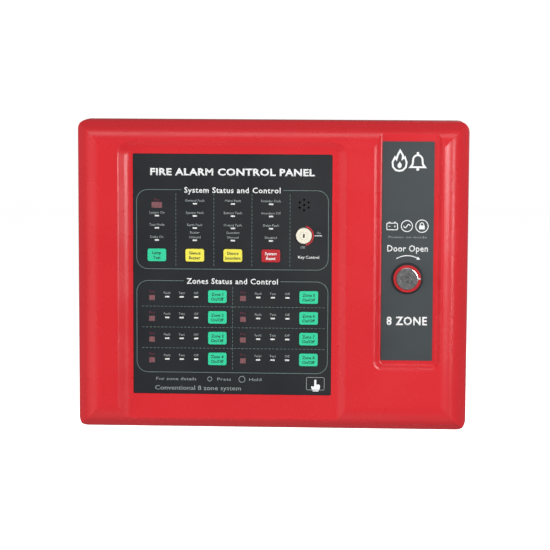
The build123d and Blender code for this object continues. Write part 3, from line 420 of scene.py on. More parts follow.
def rounded(x0, x1, z0, z1, radius, steps=8):
    """Outline of a rectangle with round corners, starting at the middle of its top edge."""
    top = (x0 + x1) / 2
    return ([(top, z1)] + arc(x1 - radius, z1 - radius, radius, 90, 0, steps)
            + arc(x1 - radius, z0 + radius, radius, 0, -90, steps)
            + arc(x0 + radius, z0 + radius, radius, -90, -180, steps)
            + arc(x0 + radius, z1 - radius, radius, 180, 90, steps))


# Materials

# Part of a noise's range that holds nearly all of it
NOISE_SPAN = (0.3, 0.7)

# Board traces: patch in X, Y and Z, then half the distance of two traces, and where one begins
TRACE_PATCH = (11 * MM, 1000 * MM, 7 * MM)
TRACE_PITCH = 0.7 * MM
TRACE_EDGE = 0.42 * MM


def shader(name, colour, roughness, **sockets):
    """Material whose even values stand on the shader's own sockets."""
    material = bpy.data.materials.new(name)
    material.use_nodes = True
    sockets.update(base_color=(*colour, 1.0), roughness=roughness)
    for socket, value in sockets.items():
        surface(material)[socket.replace("_", " ").title().replace("Ior", "IOR")].default_value = value
    return material


def surface(material):
    """The shader's own sockets."""
    return material.node_tree.nodes["Principled BSDF"].inputs


def add(material, kind, **settings):
    """New shader node with its settings and socket values."""
    node = material.node_tree.nodes.new("ShaderNode" + kind)
    for key, value in settings.items():
        if hasattr(node, key):
            setattr(node, key, value)
        else:
            node.inputs[key.replace("_", " ").title()].default_value = value
    return node


def join(material, *pairs):
    for source, target in pairs:
        material.node_tree.links.new(source, target)


def places(material, stretch=(1, 1, 1)):
    """Object coordinates, stretched along an axis where a finish has a direction."""
    where = add(material, "TexCoord").outputs["Object"]
    if stretch == (1, 1, 1):
        return where
    mapping = add(material, "Mapping")
    mapping.inputs["Scale"].default_value = stretch
    join(material, (where, mapping.inputs["Vector"]))
    return mapping.outputs["Vector"]


def noise(material, scale, detail, stretch=(1, 1, 1)):
    """Soft noise over the piece."""
    made = add(material, "TexNoise", scale=scale, detail=detail)
    join(material, (places(material, stretch), made.inputs["Vector"]))
    return made.outputs["Fac"]


def emboss(material, height, strength, depth):
    """Relief that follows a height, depth in metres."""
    bump = add(material, "Bump", strength=strength, distance=depth)
    join(material, (height, bump.inputs["Height"]), (bump.outputs["Normal"], surface(material)["Normal"]))


def mottle(material, colour, spread, scale, detail=3.0, stretch=(1, 1, 1)):
    """Base colour that drifts a little either side of its tint."""
    ramp = add(material, "ValToRGB")
    for end, position, share in zip(ramp.color_ramp.elements, NOISE_SPAN, (1 - spread, 1 + spread)):
        end.position = position
        end.color = (*(min(c * share, 1.0) for c in colour), 1.0)
    join(material, (noise(material, scale, detail, stretch), ramp.inputs["Fac"]),
         (ramp.outputs["Color"], surface(material)["Base Color"]))


def polish(material, low, high, scale, stretch=(1, 1, 1)):
    """Roughness that varies between two values."""
    span = add(material, "MapRange")
    for socket, value in zip(("From Min", "From Max", "To Min", "To Max"), (*NOISE_SPAN, low, high)):
        span.inputs[socket].default_value = value
    join(material, (noise(material, scale, 4.0, stretch), span.inputs["Value"]),
         (span.outputs["Result"], surface(material)["Roughness"]))


def grain(material, scale, depth, stretch=(1, 1, 1)):
    """Fine surface relief, depth in metres."""
    emboss(material, noise(material, scale, 2.0, stretch), 0.6, depth)


def moulded(name, colour, roughness=0.42, relief=0.012, pitch=0.45, drift=0.05, **sockets):
    """Injection moulded plastic: a drift of colour, a fine sparked texture and uneven gloss."""
    material = shader(name, colour, roughness, **sockets)
    mottle(material, colour, drift, 9.0)
    polish(material, roughness - 0.05, roughness + 0.06, 26.0)
    grain(material, 1 / (pitch * MM), relief * MM)
    return material


def metal(name, colour, roughness, stretch=(1, 1, 1), scale=900.0, relief=0.004, drift=0.12):
    """Plated or brushed metal, with marks that run along its direction."""
    material = shader(name, colour, roughness, metallic=1.0)
    mottle(material, colour, drift, scale / 6, stretch=stretch)
    polish(material, roughness * 0.7, roughness * 1.4, scale / 3, stretch)
    grain(material, scale, relief * MM, stretch)
    return material


def printed(name, colour, roughness=0.5):
    """Screen printed ink with a faintly broken surface."""
    material = shader(name, colour, roughness)
    mottle(material, colour, 0.06, 900.0, 4.0)
    grain(material, 5200.0, 0.004 * MM)
    return material


def window(name, colour, pitch=0.5):
    """Tinted diffusing window with a fine prismatic back."""
    material = shader(name, colour, 0.22, coat_weight=0.5, coat_roughness=0.12, ior=1.49)
    mottle(material, colour, 0.22, 420.0, 2.0)
    wave = add(material, "TexWave", scale=1 / (pitch * MM) / 6.0, bands_direction="Z")
    join(material, (places(material), wave.inputs["Vector"]))
    emboss(material, wave.outputs["Fac"], 0.5, 0.03 * MM)
    return material


def solder_mask(name):
    """Green board: traces that change direction from patch to patch, under a glossy mask."""
    dark, light = (0.004, 0.060, 0.022), (0.012, 0.150, 0.055)
    material = shader(name, dark, 0.30, coat_weight=0.3, coat_roughness=0.2)
    where = places(material)
    patch = add(material, "VectorMath", operation="SNAP")
    patch.inputs[1].default_value = TRACE_PATCH
    chance = add(material, "TexWhiteNoise", noise_dimensions="3D")
    turn = add(material, "Math", operation="GREATER_THAN")
    turn.inputs[1].default_value = 0.5
    axes = add(material, "SeparateXYZ")
    pick = add(material, "Mix", data_type="FLOAT")
    ripple = add(material, "Math", operation="PINGPONG")
    ripple.inputs[1].default_value = TRACE_PITCH
    line = add(material, "Math", operation="GREATER_THAN")
    line.inputs[1].default_value = TRACE_EDGE
    mix = add(material, "Mix", data_type="RGBA")
    mix.inputs[6].default_value = (*dark, 1.0)
    mix.inputs[7].default_value = (*light, 1.0)
    join(material, (where, patch.inputs[0]), (patch.outputs["Vector"], chance.inputs["Vector"]),
         (chance.outputs["Value"], turn.inputs[0]), (turn.outputs["Value"], pick.inputs["Factor"]),
         (where, axes.inputs["Vector"]), (axes.outputs["X"], pick.inputs[2]),
         (axes.outputs["Z"], pick.inputs[3]), (pick.outputs[0], ripple.inputs[0]),
         (ripple.outputs["Value"], line.inputs[0]), (line.outputs["Value"], mix.inputs["Factor"]),
         (mix.outputs[2], surface(material)["Base Color"]))
    emboss(material, line.outputs["Value"], 0.7, 0.035 * MM)
    return material


def lamp_epoxy(name, colour):
    """Milky epoxy of an unlit lamp."""
    material = shader(name, colour, 0.16, coat_weight=0.6, coat_roughness=0.06)
    mottle(material, colour, 0.15, 260.0)
    return material


def clear_glass(name):
    """Glass of a fuse, a little uneven."""
    material = shader(name, (0.93, 0.96, 0.95), 0.03, transmission_weight=1.0, ior=1.5)
    polish(material, 0.02, 0.07, 180.0)
    return material


def make_materials(colours):
    """Every finish of the panel by its plain name."""
    steel = (0.62, 0.62, 0.64)
    made = (
        moulded("red_abs", colours.cover, 0.27, 0.006, 0.5, 0.03),
        moulded("fascia_print", colours.fascia, 0.44, 0.006, 0.3, 0.08),
        # The label's tint is partly painted sheen: lighter than the fascia grey
        moulded("label_print", colours.label, 0.42, 0.006, 0.3, 0.10),
        moulded("key_green", colours.green, 0.40, 0.006, 0.3, 0.04),
        moulded("key_yellow", colours.yellow, 0.40, 0.006, 0.3, 0.04),
        moulded("key_red", colours.red, 0.40, 0.006, 0.3, 0.04),
        window("alarm_window", colours.alarm),
        window("status_window", colours.status),
        lamp_epoxy("led_epoxy", (0.62, 0.20, 0.14)),
        moulded("switch_black", (0.018, 0.018, 0.020), 0.46),
        solder_mask("board_green"),
        metal("zinc_steel", steel, 0.30),
        moulded("chip_black", (0.014, 0.014, 0.016), 0.50, 0.010, 0.25),
        moulded("buzzer_black", (0.015, 0.015, 0.016), 0.40),
        metal("lock_chrome", (0.70, 0.70, 0.71), 0.20, scale=1500.0, relief=0.002, drift=0.05),
        moulded("collar_black", (0.026, 0.027, 0.030), 0.30, 0.004, 0.4),
        moulded("index_red", (0.48, 0.014, 0.018), 0.30, 0.004, 0.4),
        metal("brass", (0.72, 0.52, 0.20), 0.26),
        moulded("cream_plastic", (0.74, 0.70, 0.58), 0.36, 0.006, 0.35),
        moulded("battery_grey", (0.055, 0.060, 0.068), 0.52, 0.020, 0.6),
        metal("tinned_brass", (0.72, 0.70, 0.64), 0.32),
        moulded("terminal_green", (0.022, 0.230, 0.060), 0.42),
        moulded("relay_blue", (0.020, 0.090, 0.300), 0.32, 0.006),
        moulded("can_sleeve", (0.012, 0.016, 0.040), 0.30, 0.004),
        metal("heatsink_black", (0.050, 0.050, 0.055), 0.45, (1, 1, 12), 700.0, 0.006),
        clear_glass("fuse_glass"),
        metal("core_steel", (0.16, 0.155, 0.15), 0.48, (1, 20, 1), 300.0, 0.02),
        moulded("coil_tape", (0.620, 0.440, 0.060), 0.34, 0.015, 1.2, 0.12),
        printed("ink", colours.ink),
        printed("faint_ink", colours.faint),
        printed("line_ink", colours.line),
        printed("red_ink", (0.50, 0.020, 0.024)),
        printed("dim_red_ink", (0.13, 0.020, 0.040)),
        printed("dark_ink", (0.010, 0.040, 0.030)),
        metal("copper", (0.72, 0.24, 0.08), 0.28, drift=0.2),
        metal("solder", (0.66, 0.67, 0.68), 0.24, scale=2200.0),
        moulded("ceramic", (0.32, 0.22, 0.12), 0.50, 0.006, 0.3, 0.25),
        printed("paper", (0.70, 0.71, 0.68), 0.62),
    )
    # The frame's own materials hold the plain names, so Blender numbers these
    return {material.name.partition(".")[0]: material for material in made}


def finishes(*names):
    """Some of the finishes by name."""
    return {name: MATERIALS[name] for name in names}


# Geometry Nodes

class Tree:
    """Node tree that takes a mesh or curve and named sizes, and ends in realised, finished geometry."""

    def __init__(self, name, **inputs):
        self.group = bpy.data.node_groups.new(name, "GeometryNodeTree")
        self.group.is_modifier = True
        face = self.group.interface
        face.new_socket("Geometry", in_out="OUTPUT", socket_type="NodeSocketGeometry")
        face.new_socket("Geometry", in_out="INPUT", socket_type="NodeSocketGeometry")
        self.values = {}
        for label, value in inputs.items():
            kind = ("Material" if isinstance(value, bpy.types.Material) else "Bool" if isinstance(value, bool)
                    else "Int" if isinstance(value, int) else "Vector" if isinstance(value, (tuple, Vector))
                    else "Float")
            socket = face.new_socket(label.replace("_", " ").title(), in_out="INPUT",
                                     socket_type="NodeSocket" + kind)
            self.values[socket.identifier] = value
        self.start = self.group.nodes.new("NodeGroupInput")
        self.end = self.group.nodes.new("NodeGroupOutput")

    def given(self, label):
        return self.start.outputs[label.replace("_", " ").title()]

    def node(self, kind, **settings):
        """Node whose keyword values are settings, linked sockets or socket values."""
        whole = kind if kind.startswith(("Shader", "Function")) else "GeometryNode" + kind
        made = self.group.nodes.new(whole)
        for key, value in settings.items():
            if hasattr(made, key):
                setattr(made, key, value)
                continue
            socket = next(s for s in made.inputs
                          if s.enabled and s.name == key.replace("_", " ").title().replace(" On ", " on "))
            if isinstance(value, bpy.types.NodeSocket):
                self.group.links.new(value, socket)
            else:
                socket.default_value = value
        return made

    def close(self, geometry, *finishes):
        """Ends the tree: realises the instances and sets each material, with its selection."""
        last = self.node("RealizeInstances", geometry=geometry)
        for material, chosen in finishes:
            last = self.node("SetMaterial", geometry=last.outputs[0], material=material)
            if chosen is not None:
                self.group.links.new(chosen, last.inputs["Selection"])
        self.group.links.new(last.outputs[0], self.end.inputs[0])

    def run(self, data, name, body, slot, materials, smooth=None):
        """Runs the tree on a mesh or curve and keeps the result as a plain mesh."""
        source = bpy.data.objects.new(name + "_source", data)
        bpy.context.scene.collection.objects.link(source)
        modifier = source.modifiers.new(name, "NODES")
        modifier.node_group = self.group
        for identifier, value in self.values.items():
            modifier[identifier] = value
        bpy.context.view_layer.update()
        graph = bpy.context.evaluated_depsgraph_get()
        result = bpy.data.meshes.new_from_object(source.evaluated_get(graph))
        order = [m.name if m else "" for m in result.materials]
        source.modifiers.remove(modifier)
        bpy.data.objects.remove(source)
        wanted = [materials.index(bpy.data.materials[m]) if m else 0 for m in order] or [0]
        chosen = [wanted[p.material_index] for p in result.polygons]
        result.polygons.foreach_set("material_index", chosen)
        result.name = name
        return place(result, name, body, materials, smooth)


def points_mesh(name, points):
    data = bpy.data.meshes.new(name)
    data.from_pydata([tuple(p) for p in points], [], [])
    return data


def lines_curve(name, lines):
    """Curve with one straight run for each pair of points."""
    data = bpy.data.curves.new(name, "CURVE")
    data.dimensions = "3D"
    for ends in lines:
        spline = data.splines.new("POLY")
        spline.points.add(len(ends) - 1)
        for point, place_at in zip(spline.points, ends):
            point.co = (*place_at, 1.0)
    return data


def dash_tree(settings, ink):
    """Dashes along every line of a curve."""
    tree = Tree("dashes", pitch=settings.dash_pitch, dash_length=settings.dash, dash_width=settings.dash_width,
                ink_thickness=settings.thickness, ink=ink)
    size_of = tree.node("ShaderNodeCombineXYZ", x=tree.given("dash_length"), y=tree.given("ink_thickness"),
                        z=tree.given("dash_width"))
    dash = tree.node("MeshCube", size=size_of.outputs[0])
    points = tree.node("CurveToPoints", mode="LENGTH", curve=tree.given("Geometry"), length=tree.given("pitch"))
    turn = tree.node("FunctionNodeAlignRotationToVector", axis="X", vector=points.outputs["Tangent"])
    laid = tree.node("InstanceOnPoints", points=points.outputs[0], instance=dash.outputs[0],
                     rotation=turn.outputs[0])
    tree.close(laid.outputs[0], (tree.given("ink"), None))
    return tree


def row_tree(name, count, step, finish):
    """Copies of the incoming shape in a row."""
    tree = Tree(name, count=count, step=Vector(step), finish=finish)
    row = tree.node("MeshLine", count=tree.given("count"), offset=tree.given("step"))
    laid = tree.node("InstanceOnPoints", points=row.outputs[0], instance=tree.given("geometry"))
    tree.close(laid.outputs[0], (tree.given("finish"), None))
    return tree


def block_tree(name, span, shift, seed, finish):
    """Two small blocks on every point, one each side of it, some pairs turned by a quarter."""
    tree = Tree(name, span=Vector(span), shift=Vector(shift), seed=seed, finish=finish)
    small = tree.node("MeshCube", size=tree.given("span"))
    there = tree.node("Transform", geometry=small.outputs[0], translation=tree.given("shift"))
    back = tree.node("ShaderNodeVectorMath", operation="SCALE")
    tree.group.links.new(tree.given("shift"), back.inputs[0])
    back.inputs["Scale"].default_value = -1.0
    here = tree.node("Transform", geometry=small.outputs[0], translation=back.outputs[0])
    pair = tree.node("JoinGeometry")
    for end in (there, here):
        tree.group.links.new(end.outputs[0], pair.inputs[0])
    chance = tree.node("FunctionNodeRandomValue", data_type="INT", seed=tree.given("seed"))
    low, high = [i for i in chance.inputs if i.enabled and i.name in ("Min", "Max")]
    low.default_value, high.default_value = 0, 1
    quarter = tree.node("ShaderNodeMath", operation="MULTIPLY")
    tree.group.links.new(next(o for o in chance.outputs if o.enabled), quarter.inputs[0])
    quarter.inputs[1].default_value = math.pi / 2
    turn = tree.node("ShaderNodeCombineXYZ", y=quarter.outputs[0])
    laid = tree.node("InstanceOnPoints", points=tree.given("geometry"), instance=pair.outputs[0],
                     rotation=turn.outputs[0])
    tree.close(laid.outputs[0], (tree.given("finish"), None))
    return tree


def solder_tree(name, radius, height, facing, finish):
    """A small cone of solder on every point, standing away from its board."""
    turn = Vector((-facing * math.pi / 2, 0, 0))
    tree = Tree(name, radius=radius, height=height, turn=turn, finish=finish)
    cone = tree.node("MeshCone", vertices=8, radius_bottom=tree.given("radius"), depth=tree.given("height"))
    cone.inputs["Radius Top"].default_value = radius * 0.3
    laid = tree.node("InstanceOnPoints", points=tree.given("geometry"), instance=cone.outputs[0],
                     rotation=tree.given("turn"))
    tree.close(laid.outputs[0], (tree.given("finish"), None))
    return tree


# Operators

class PanelStep:
    """What the steps share: they run on the loaded frame and undo as one."""
    bl_options = {"REGISTER", "UNDO"}

    @classmethod
    def poll(cls, context):
        return bool(frame["nodes"])


class PANEL_OT_finish_frame(PanelStep, Operator):
    """Make the finishes and give each CAD node its own"""
    bl_idname = "panel.finish_frame"
    bl_label = "Finish Frame"

    def execute(self, context):
        MATERIALS.update(make_materials(context.scene.panel_colours))
        for entry in frame["record"]["subparts"]:
            node = frame["nodes"][entry["node"]]
            node.data.materials.clear()
            node.data.materials.append(MATERIALS[entry["material_slot"]])
        return {"FINISHED"}


SYSTEM_WORDS = (
    (None, "System On", "Test Mode", "Delay On"),
    ("General Fault", "System Fault", "Earth Fault", "Buzzer\nSilenced"),
    ("Mains Fault", "Battery Fault", "Output Fault", "Sounders\nSilenced"),
    ("Sounder Fault", "Sounders Off", "Delay Fault", "Disabled"),
)
ZONE_WORDS = ("Fault", "Test", "Off")
KEY_WORDS = {
    "key_lamp_test": "Lamp\nTest",
    "key_silence_buzzer": "Silence\nBuzzer",
    "key_silence_sounders": "Silence\nSounders",
    "key_reset": "System\nReset",
}


class PANEL_OT_print_fascia(PanelStep, Operator):
    """Print the title, headings, frames and words of the fascia"""
    bl_idname = "panel.print_fascia"
    bl_label = "Print Fascia"

    def execute(self, context):
        sizes = context.scene.panel_print
        low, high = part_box("fascia_plate")
        inks = finishes("ink", "faint_ink", "line_ink", "red_ink", "dim_red_ink")
        sheet = Print("fascia_print", DOOR, "fascia_print", inks, low.y)
        centre = (low.x + high.x) / 2
        sheet.words("FIRE ALARM CONTROL PANEL", sizes.title, centre, high.z - sizes.title_drop, "ink",
                    0.045, sizes.title_width, 1.05)
        alarm = islands("fire_lenses")
        status = islands("status_lenses")
        key_row = middle(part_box("key_reset")).z
        system = [b for b in status if b[0].z > key_row]
        zones = [b for b in status if b[0].z < key_row]
        self.groups(sheet, sizes, low, high, alarm)
        self.system_words(sheet, sizes, alarm[0], system)
        self.zone_words(sheet, sizes, alarm[1:], zones)
        self.key_switch_marks(sheet, sizes)
        self.foot(sheet, sizes, low, high)
        sheet.finish()
        return {"FINISHED"}

    def groups(self, sheet, sizes, low, high, alarm):
        """Frames with a gap in the top line for the heading."""
        x0, x1 = low.x + sizes.frame_side, high.x - sizes.frame_side
        above_window, above_key, gap = 11.6 * MM, 7.8 * MM, 2.6 * MM
        centre = (x0 + x1) / 2
        for text, top, last_key, share in (
                ("System Status and Control", alarm[0][1].z + above_window, "key_reset", 0.502),
                ("Zones Status and Control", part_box("key_zone_1")[1].z + above_key, "key_zone_4", 0.478)):
            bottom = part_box(last_key)[0].z - sizes.frame_below
            half = share * (x1 - x0) / 2 + gap
            outline = rounded(x0, x1, bottom, top, sizes.frame_radius)[1:]
            line = [(centre + half, top)] + outline + [(centre - half, top)]
            sheet.stroke(line, sizes.frame_line, "line_ink")
            sheet.words(text, sizes.heading, centre, top, "ink", 0.025, share * (x1 - x0), 1.1)

    def small_words(self, sheet, sizes, text, x, z, ink="faint_ink"):
        for n, line in enumerate(reversed(text.split("\n"))):
            sheet.words(line, sizes.small, x, z + n * sizes.small * 1.9, ink, 0.02, None, 1.05)

    def system_words(self, sheet, sizes, alarm, windows):
        self.small_words(sheet, sizes, "Fire", middle(alarm).x, alarm[1].z + sizes.small, "dim_red_ink")
        columns, rows = lanes(windows, 0), lanes(windows, 2)[::-1]
        for box in windows:
            x, z = lanes([box], 0)[0], lanes([box], 2)[0]
            text = SYSTEM_WORDS[columns.index(x)][rows.index(z)]
            self.small_words(sheet, sizes, text, middle(box).x, box[1].z + sizes.small * 1.05)

    def zone_words(self, sheet, sizes, alarm, windows):
        for box in alarm:
            self.small_words(sheet, sizes, "Fire", middle(box).x, box[1].z + sizes.small * 1.5,
                             "dim_red_ink")
        columns = lanes(windows, 0)
        for box in windows:
            text = ZONE_WORDS[columns.index(lanes([box], 0)[0]) % len(ZONE_WORDS)]
            self.small_words(sheet, sizes, text, middle(box).x, box[1].z + sizes.small * 1.35)

    def key_switch_marks(self, sheet, sizes):
        """Red arc, index line and words round the key switch, and a word over the sounder."""
        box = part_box("key_switch_body")
        x, z = middle(box).x, middle(box).z
        radius = (box[1].x - box[0].x) / 2
        sheet.stroke(arc(x, z, radius + 1.4 * MM, -78, 78, 18), 1.3 * MM, "red_ink")
        sheet.stroke([(x + radius + 2.6 * MM, z), (x + radius + 9.5 * MM, z)], 0.6 * MM, "ink")
        self.small_words(sheet, sizes, "Off", x - 1.0 * MM, z - radius - 3.6 * MM)
        self.small_words(sheet, sizes, "On", x + radius + 6.4 * MM, z + 2.6 * MM)
        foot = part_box("key_reset")[0].z
        sheet.words("Key Control", sizes.legend, x + 4.5 * MM, foot + 6.0 * MM, "ink", 0.015)

    def foot(self, sheet, sizes, low, high):
        """Two lines of plain words with their marks, and a pictogram of a pressing hand."""
        x0 = low.x + 20.6 * MM
        line = low.z + 14.3 * MM
        sheet.words("For zone details", sizes.legend, x0 + 20 * MM, line, "faint_ink", 0.0, 38 * MM)
        sheet.ring(x0 + 51.8 * MM, line, 2.0 * MM, 0.5 * MM, "faint_ink")
        sheet.words("Press", sizes.legend, x0 + 65.5 * MM, line, "faint_ink", 0.0, 13 * MM)
        sheet.ring(x0 + 82.4 * MM, line, 2.9 * MM, 0.5 * MM, "faint_ink")
        sheet.words("Hold", sizes.legend, x0 + 95 * MM, line, "faint_ink", 0.0, 11.5 * MM)
        sheet.words("Conventional 8 zone system", 4.4 * MM, x0 + 40.6 * MM, line - 8.5 * MM, "faint_ink", 0.0,
                    81.5 * MM)
        x1 = high.x - 14.6 * MM
        z1 = low.z + 10.9 * MM
        sheet.stroke(rounded(x1 - 8.4 * MM, x1 + 8.4 * MM, z1 - 6 * MM, z1 + 6 * MM, 1.2 * MM, 3), 0.5 * MM,
                     "faint_ink", closed=True)
        z1 -= 1.4 * MM
        fingertip = arc(0, 4.4, 1.0, 180, 0, 6)
        knuckles = arc(3.2, -0.6, 1.3, 80, -10, 5)
        palm = [(4.2, -3.4), (2.8, -6.0), (-2.2, -6.0), (-4.2, -1.8), (-3.4, -0.8), (-2.2, -1.4)]
        hand = [(-1.0, -1.0)] + fingertip + [(1.0, 0.6)] + knuckles + palm
        sheet.shape([(x1 + x * MM, z1 + z * MM) for x, z in hand], "ink")


class PANEL_OT_print_dashes(PanelStep, Operator):
    """Lay the dashed lines between the columns and rows of the fascia"""
    bl_idname = "panel.print_dashes"
    bl_label = "Print Dashes"

    def execute(self, context):
        sizes = context.scene.panel_print
        low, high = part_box("fascia_plate")
        face = low.y - sizes.thickness * 0.3
        keys = [middle(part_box(k)) for k in KEY_WORDS]
        gap = keys[1].x - keys[0].x
        top = middle(islands("fire_lenses")[0]).z + 9.7 * MM
        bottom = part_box("key_reset")[0].z - sizes.frame_below + 4.2 * MM
        lines = [((k.x + gap / 2, face, top), (k.x + gap / 2, face, bottom)) for k in keys]
        zones = [middle(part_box(f"key_zone_{n + 1}")) for n in range(8)]
        pitch = zones[0].z - zones[1].z
        x0, x1 = low.x + sizes.frame_side, high.x - sizes.frame_side
        split = zones[0].x + 14.4 * MM
        lines.append(((split, face, zones[0].z + 8.0 * MM), (split, face, zones[3].z - 8.7 * MM)))
        for n in range(3):
            z = zones[n].z - pitch / 2 + 0.2 * MM
            lines.append(((x0 + 6 * MM, face, z), (x1 - 4 * MM, face, z)))
        tree = dash_tree(sizes, MATERIALS["line_ink"])
        tree.run(lines_curve("dash_lines", lines), "fascia_dashes", DOOR, "fascia_print",
                 [MATERIALS["line_ink"]])
        return {"FINISHED"}


class PANEL_OT_print_keys(PanelStep, Operator):
    """Print each key's legend, which travels with its key"""
    bl_idname = "panel.print_keys"
    bl_label = "Print Keys"

    def execute(self, context):
        sizes = context.scene.panel_print
        words = dict(KEY_WORDS)
        words.update({f"key_zone_{n}": f"Zone {n}\nOn/Off" for n in range(1, 9)})
        for key, text in words.items():
            low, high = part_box(key)
            ink = "ink" if key == "key_reset" else "dark_ink"
            slot = next(e["material_slot"] for e in frame["record"]["subparts"] if e["node"] == key)
            sheet = Print(key.replace("key", "legend"), key, slot, finishes(ink), low.y)
            x, z = (low.x + high.x) / 2, (low.z + high.z) / 2
            upper, lower = text.split("\n")
            sheet.words(upper, sizes.legend, x, z + sizes.legend * 0.78, ink, 0.03)
            sheet.words(lower, sizes.legend, x, z - sizes.legend * 0.78, ink, 0.03)
            sheet.finish()
        return {"FINISHED"}


class PANEL_OT_print_label(PanelStep, Operator):
    """Print the lock label's pictograms and words, and mark the lock's ring"""
    bl_idname = "panel.print_label"
    bl_label = "Print Label"

    def execute(self, context):
        sizes = context.scene.panel_print
        low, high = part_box("lock_label")
        lock = middle(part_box("lock_plug"))
        inks = finishes("ink", "faint_ink", "red_ink")
        sheet = Print("label_marks", DOOR, "label_print", inks, low.y)
        self.flame(sheet, lock.x - 8.4 * MM, high.z - 18.0 * MM, 19.0 * MM)
        self.bell(sheet, lock.x + 8.6 * MM, high.z - 18.0 * MM, 19.0 * MM)
        row = lock.z + 49.3 * MM
        self.battery(sheet, lock.x - 14.6 * MM, row)
        self.mains(sheet, lock.x - 0.8 * MM, row)
        self.padlock(sheet, lock.x + 13.2 * MM, row)
        sheet.words("Power on inside", 2.0 * MM, lock.x, row - 10.4 * MM, "faint_ink", 0.01, 36 * MM)
        sheet.words("Door Open", 6.2 * MM, lock.x, lock.z + 28.4 * MM, "ink", 0.02, 38 * MM, 1.05)
        sheet.words("8 ZONE", 8.0 * MM, lock.x, lock.z - 40.0 * MM, "ink", 0.035, 38 * MM, 1.1)
        sweep = arc(lock.x, lock.z + 2.0 * MM, 19.5 * MM, 122, 62, 14)
        sheet.stroke(sweep, 0.8 * MM, "ink")
        tip = Vector(sweep[-1])
        along = (tip - Vector(sweep[-2])).normalized()
        side = Vector((-along.y, along.x))
        sheet.shape([tip + along * 3.2 * MM, tip + side * 1.5 * MM, tip - side * 1.5 * MM], "ink")
        sheet.finish()
        ring_low, ring_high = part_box("lock_index_ring")
        body_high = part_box("lock_body")[1]
        mark = Build("lock_index_mark", DOOR, "index_red", finishes("ink"))
        notch = ring_low.y + 0.95 * MM
        mark.block((body_high.x + 0.05 * MM, notch - 0.2 * MM, lock.z - 0.75 * MM),
                   (ring_high.x - 0.3 * MM, notch + 0.1 * MM, lock.z + 0.75 * MM), "ink", 0.05 * MM)
        mark.finish()
        return {"FINISHED"}

    def flame(self, sheet, x, z, height):
        """Flame with an inner tongue left open."""
        h = height / 2
        half = [(0.05, 1.0), (0.34, 0.52), (0.30, 0.20), (0.52, 0.36), (0.70, -0.16), (0.62, -0.62),
                (0.34, -0.92), (0.0, -1.0)]
        other = [(-0.36, -0.92), (-0.64, -0.60), (-0.68, -0.12), (-0.44, 0.34), (-0.30, 0.14), (-0.18, 0.56)]
        sheet.stroke([(x + a * h, z + b * h) for a, b in half + other], 1.7 * MM, "ink", closed=True)
        tongue = [(0.02, -0.08), (0.22, -0.38), (0.18, -0.64), (0.0, -0.74), (-0.18, -0.62), (-0.2, -0.4)]
        sheet.shape([(x + a * h, z + b * h) for a, b in tongue], "ink")

    def bell(self, sheet, x, z, height):
        """Bell with its clapper below and a small disc on top."""
        h = height / 2
        dome = arc(x, z + 0.10 * h, 0.46 * h, 180, 0, 12)
        skirt = [(x + 0.50 * h, z - 0.34 * h), (x + 0.72 * h, z - 0.62 * h), (x - 0.72 * h, z - 0.62 * h),
                 (x - 0.50 * h, z - 0.34 * h)]
        sheet.stroke(dome + skirt, 1.7 * MM, "ink", closed=True)
        sheet.disc(x, z - 0.82 * h, 0.15 * h, "ink")
        sheet.disc(x, z + 0.74 * h, 0.13 * h, "ink")

    def battery(self, sheet, x, z):
        half, tall = 5.0 * MM, 3.6 * MM
        case = rounded(x - half, x + half, z - tall, z + tall - 1.0 * MM, 0.8 * MM, 3)
        sheet.stroke(case, 0.75 * MM, "ink", closed=True)
        for side in (-1, 1):
            post = x + side * half / 2
            top = z + tall - 0.4 * MM
            sheet.stroke([(post - 1.0 * MM, top), (post + 1.0 * MM, top)], 1.2 * MM, "ink")
            sheet.stroke([(post - 0.9 * MM, z - 0.4 * MM), (post + 0.9 * MM, z - 0.4 * MM)], 0.6 * MM, "ink")
        sheet.stroke([(x + half / 2, z - 1.3 * MM), (x + half / 2, z + 0.5 * MM)], 0.6 * MM, "ink")

    def mains(self, sheet, x, z):
        sheet.ring(x, z, 5.2 * MM, 0.75 * MM, "ink")
        wave = [(x + (k - 8) * 0.4 * MM, z + 1.6 * MM * math.sin((k - 8) * math.pi / 8)) for k in range(17)]
        sheet.stroke(wave, 0.8 * MM, "ink")

    def padlock(self, sheet, x, z):
        sheet.ring(x, z, 5.8 * MM, 0.75 * MM, "ink")
        top, bow = z + 0.6 * MM, 1.6 * MM
        sheet.shape(rounded(x - 2.6 * MM, x + 2.6 * MM, z - 3.0 * MM, top, 0.5 * MM, 2)[1:], "ink")
        shackle = [(x - bow, top)] + arc(x, z + 1.5 * MM, bow, 180, 0, 8) + [(x + bow, top)]
        sheet.stroke(shackle, 0.7 * MM, "ink")


BOARDS = (("main", BOX, FRONT), ("display", DOOR, REAR))


def board_face(board, facing):
    """Depth of the side of a board that carries its parts."""
    low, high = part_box(f"{board}_board")
    return low.y if facing == FRONT else high.y


def covered(board, facing):
    """Boxes of everything that stands on that side of a board."""
    nodes = {"main": ("zone_terminals", "relays", "capacitors", "heatsink", "regulators", "fuse_holders",
                      "main_ribbon_header", "main_board_screws"),
             "display": ("display_controller", "display_ribbon_header", "display_board_screws",
                         "key_switch_body")}[board]
    return [box for node in nodes for box in islands(node)]


def clear_of(boxes, x, z, keep):
    """True where a place stands outside every box by at least the distance kept."""
    return all(x < low.x - keep or x > high.x + keep or z < low.z - keep or z > high.z + keep
               for low, high in boxes)


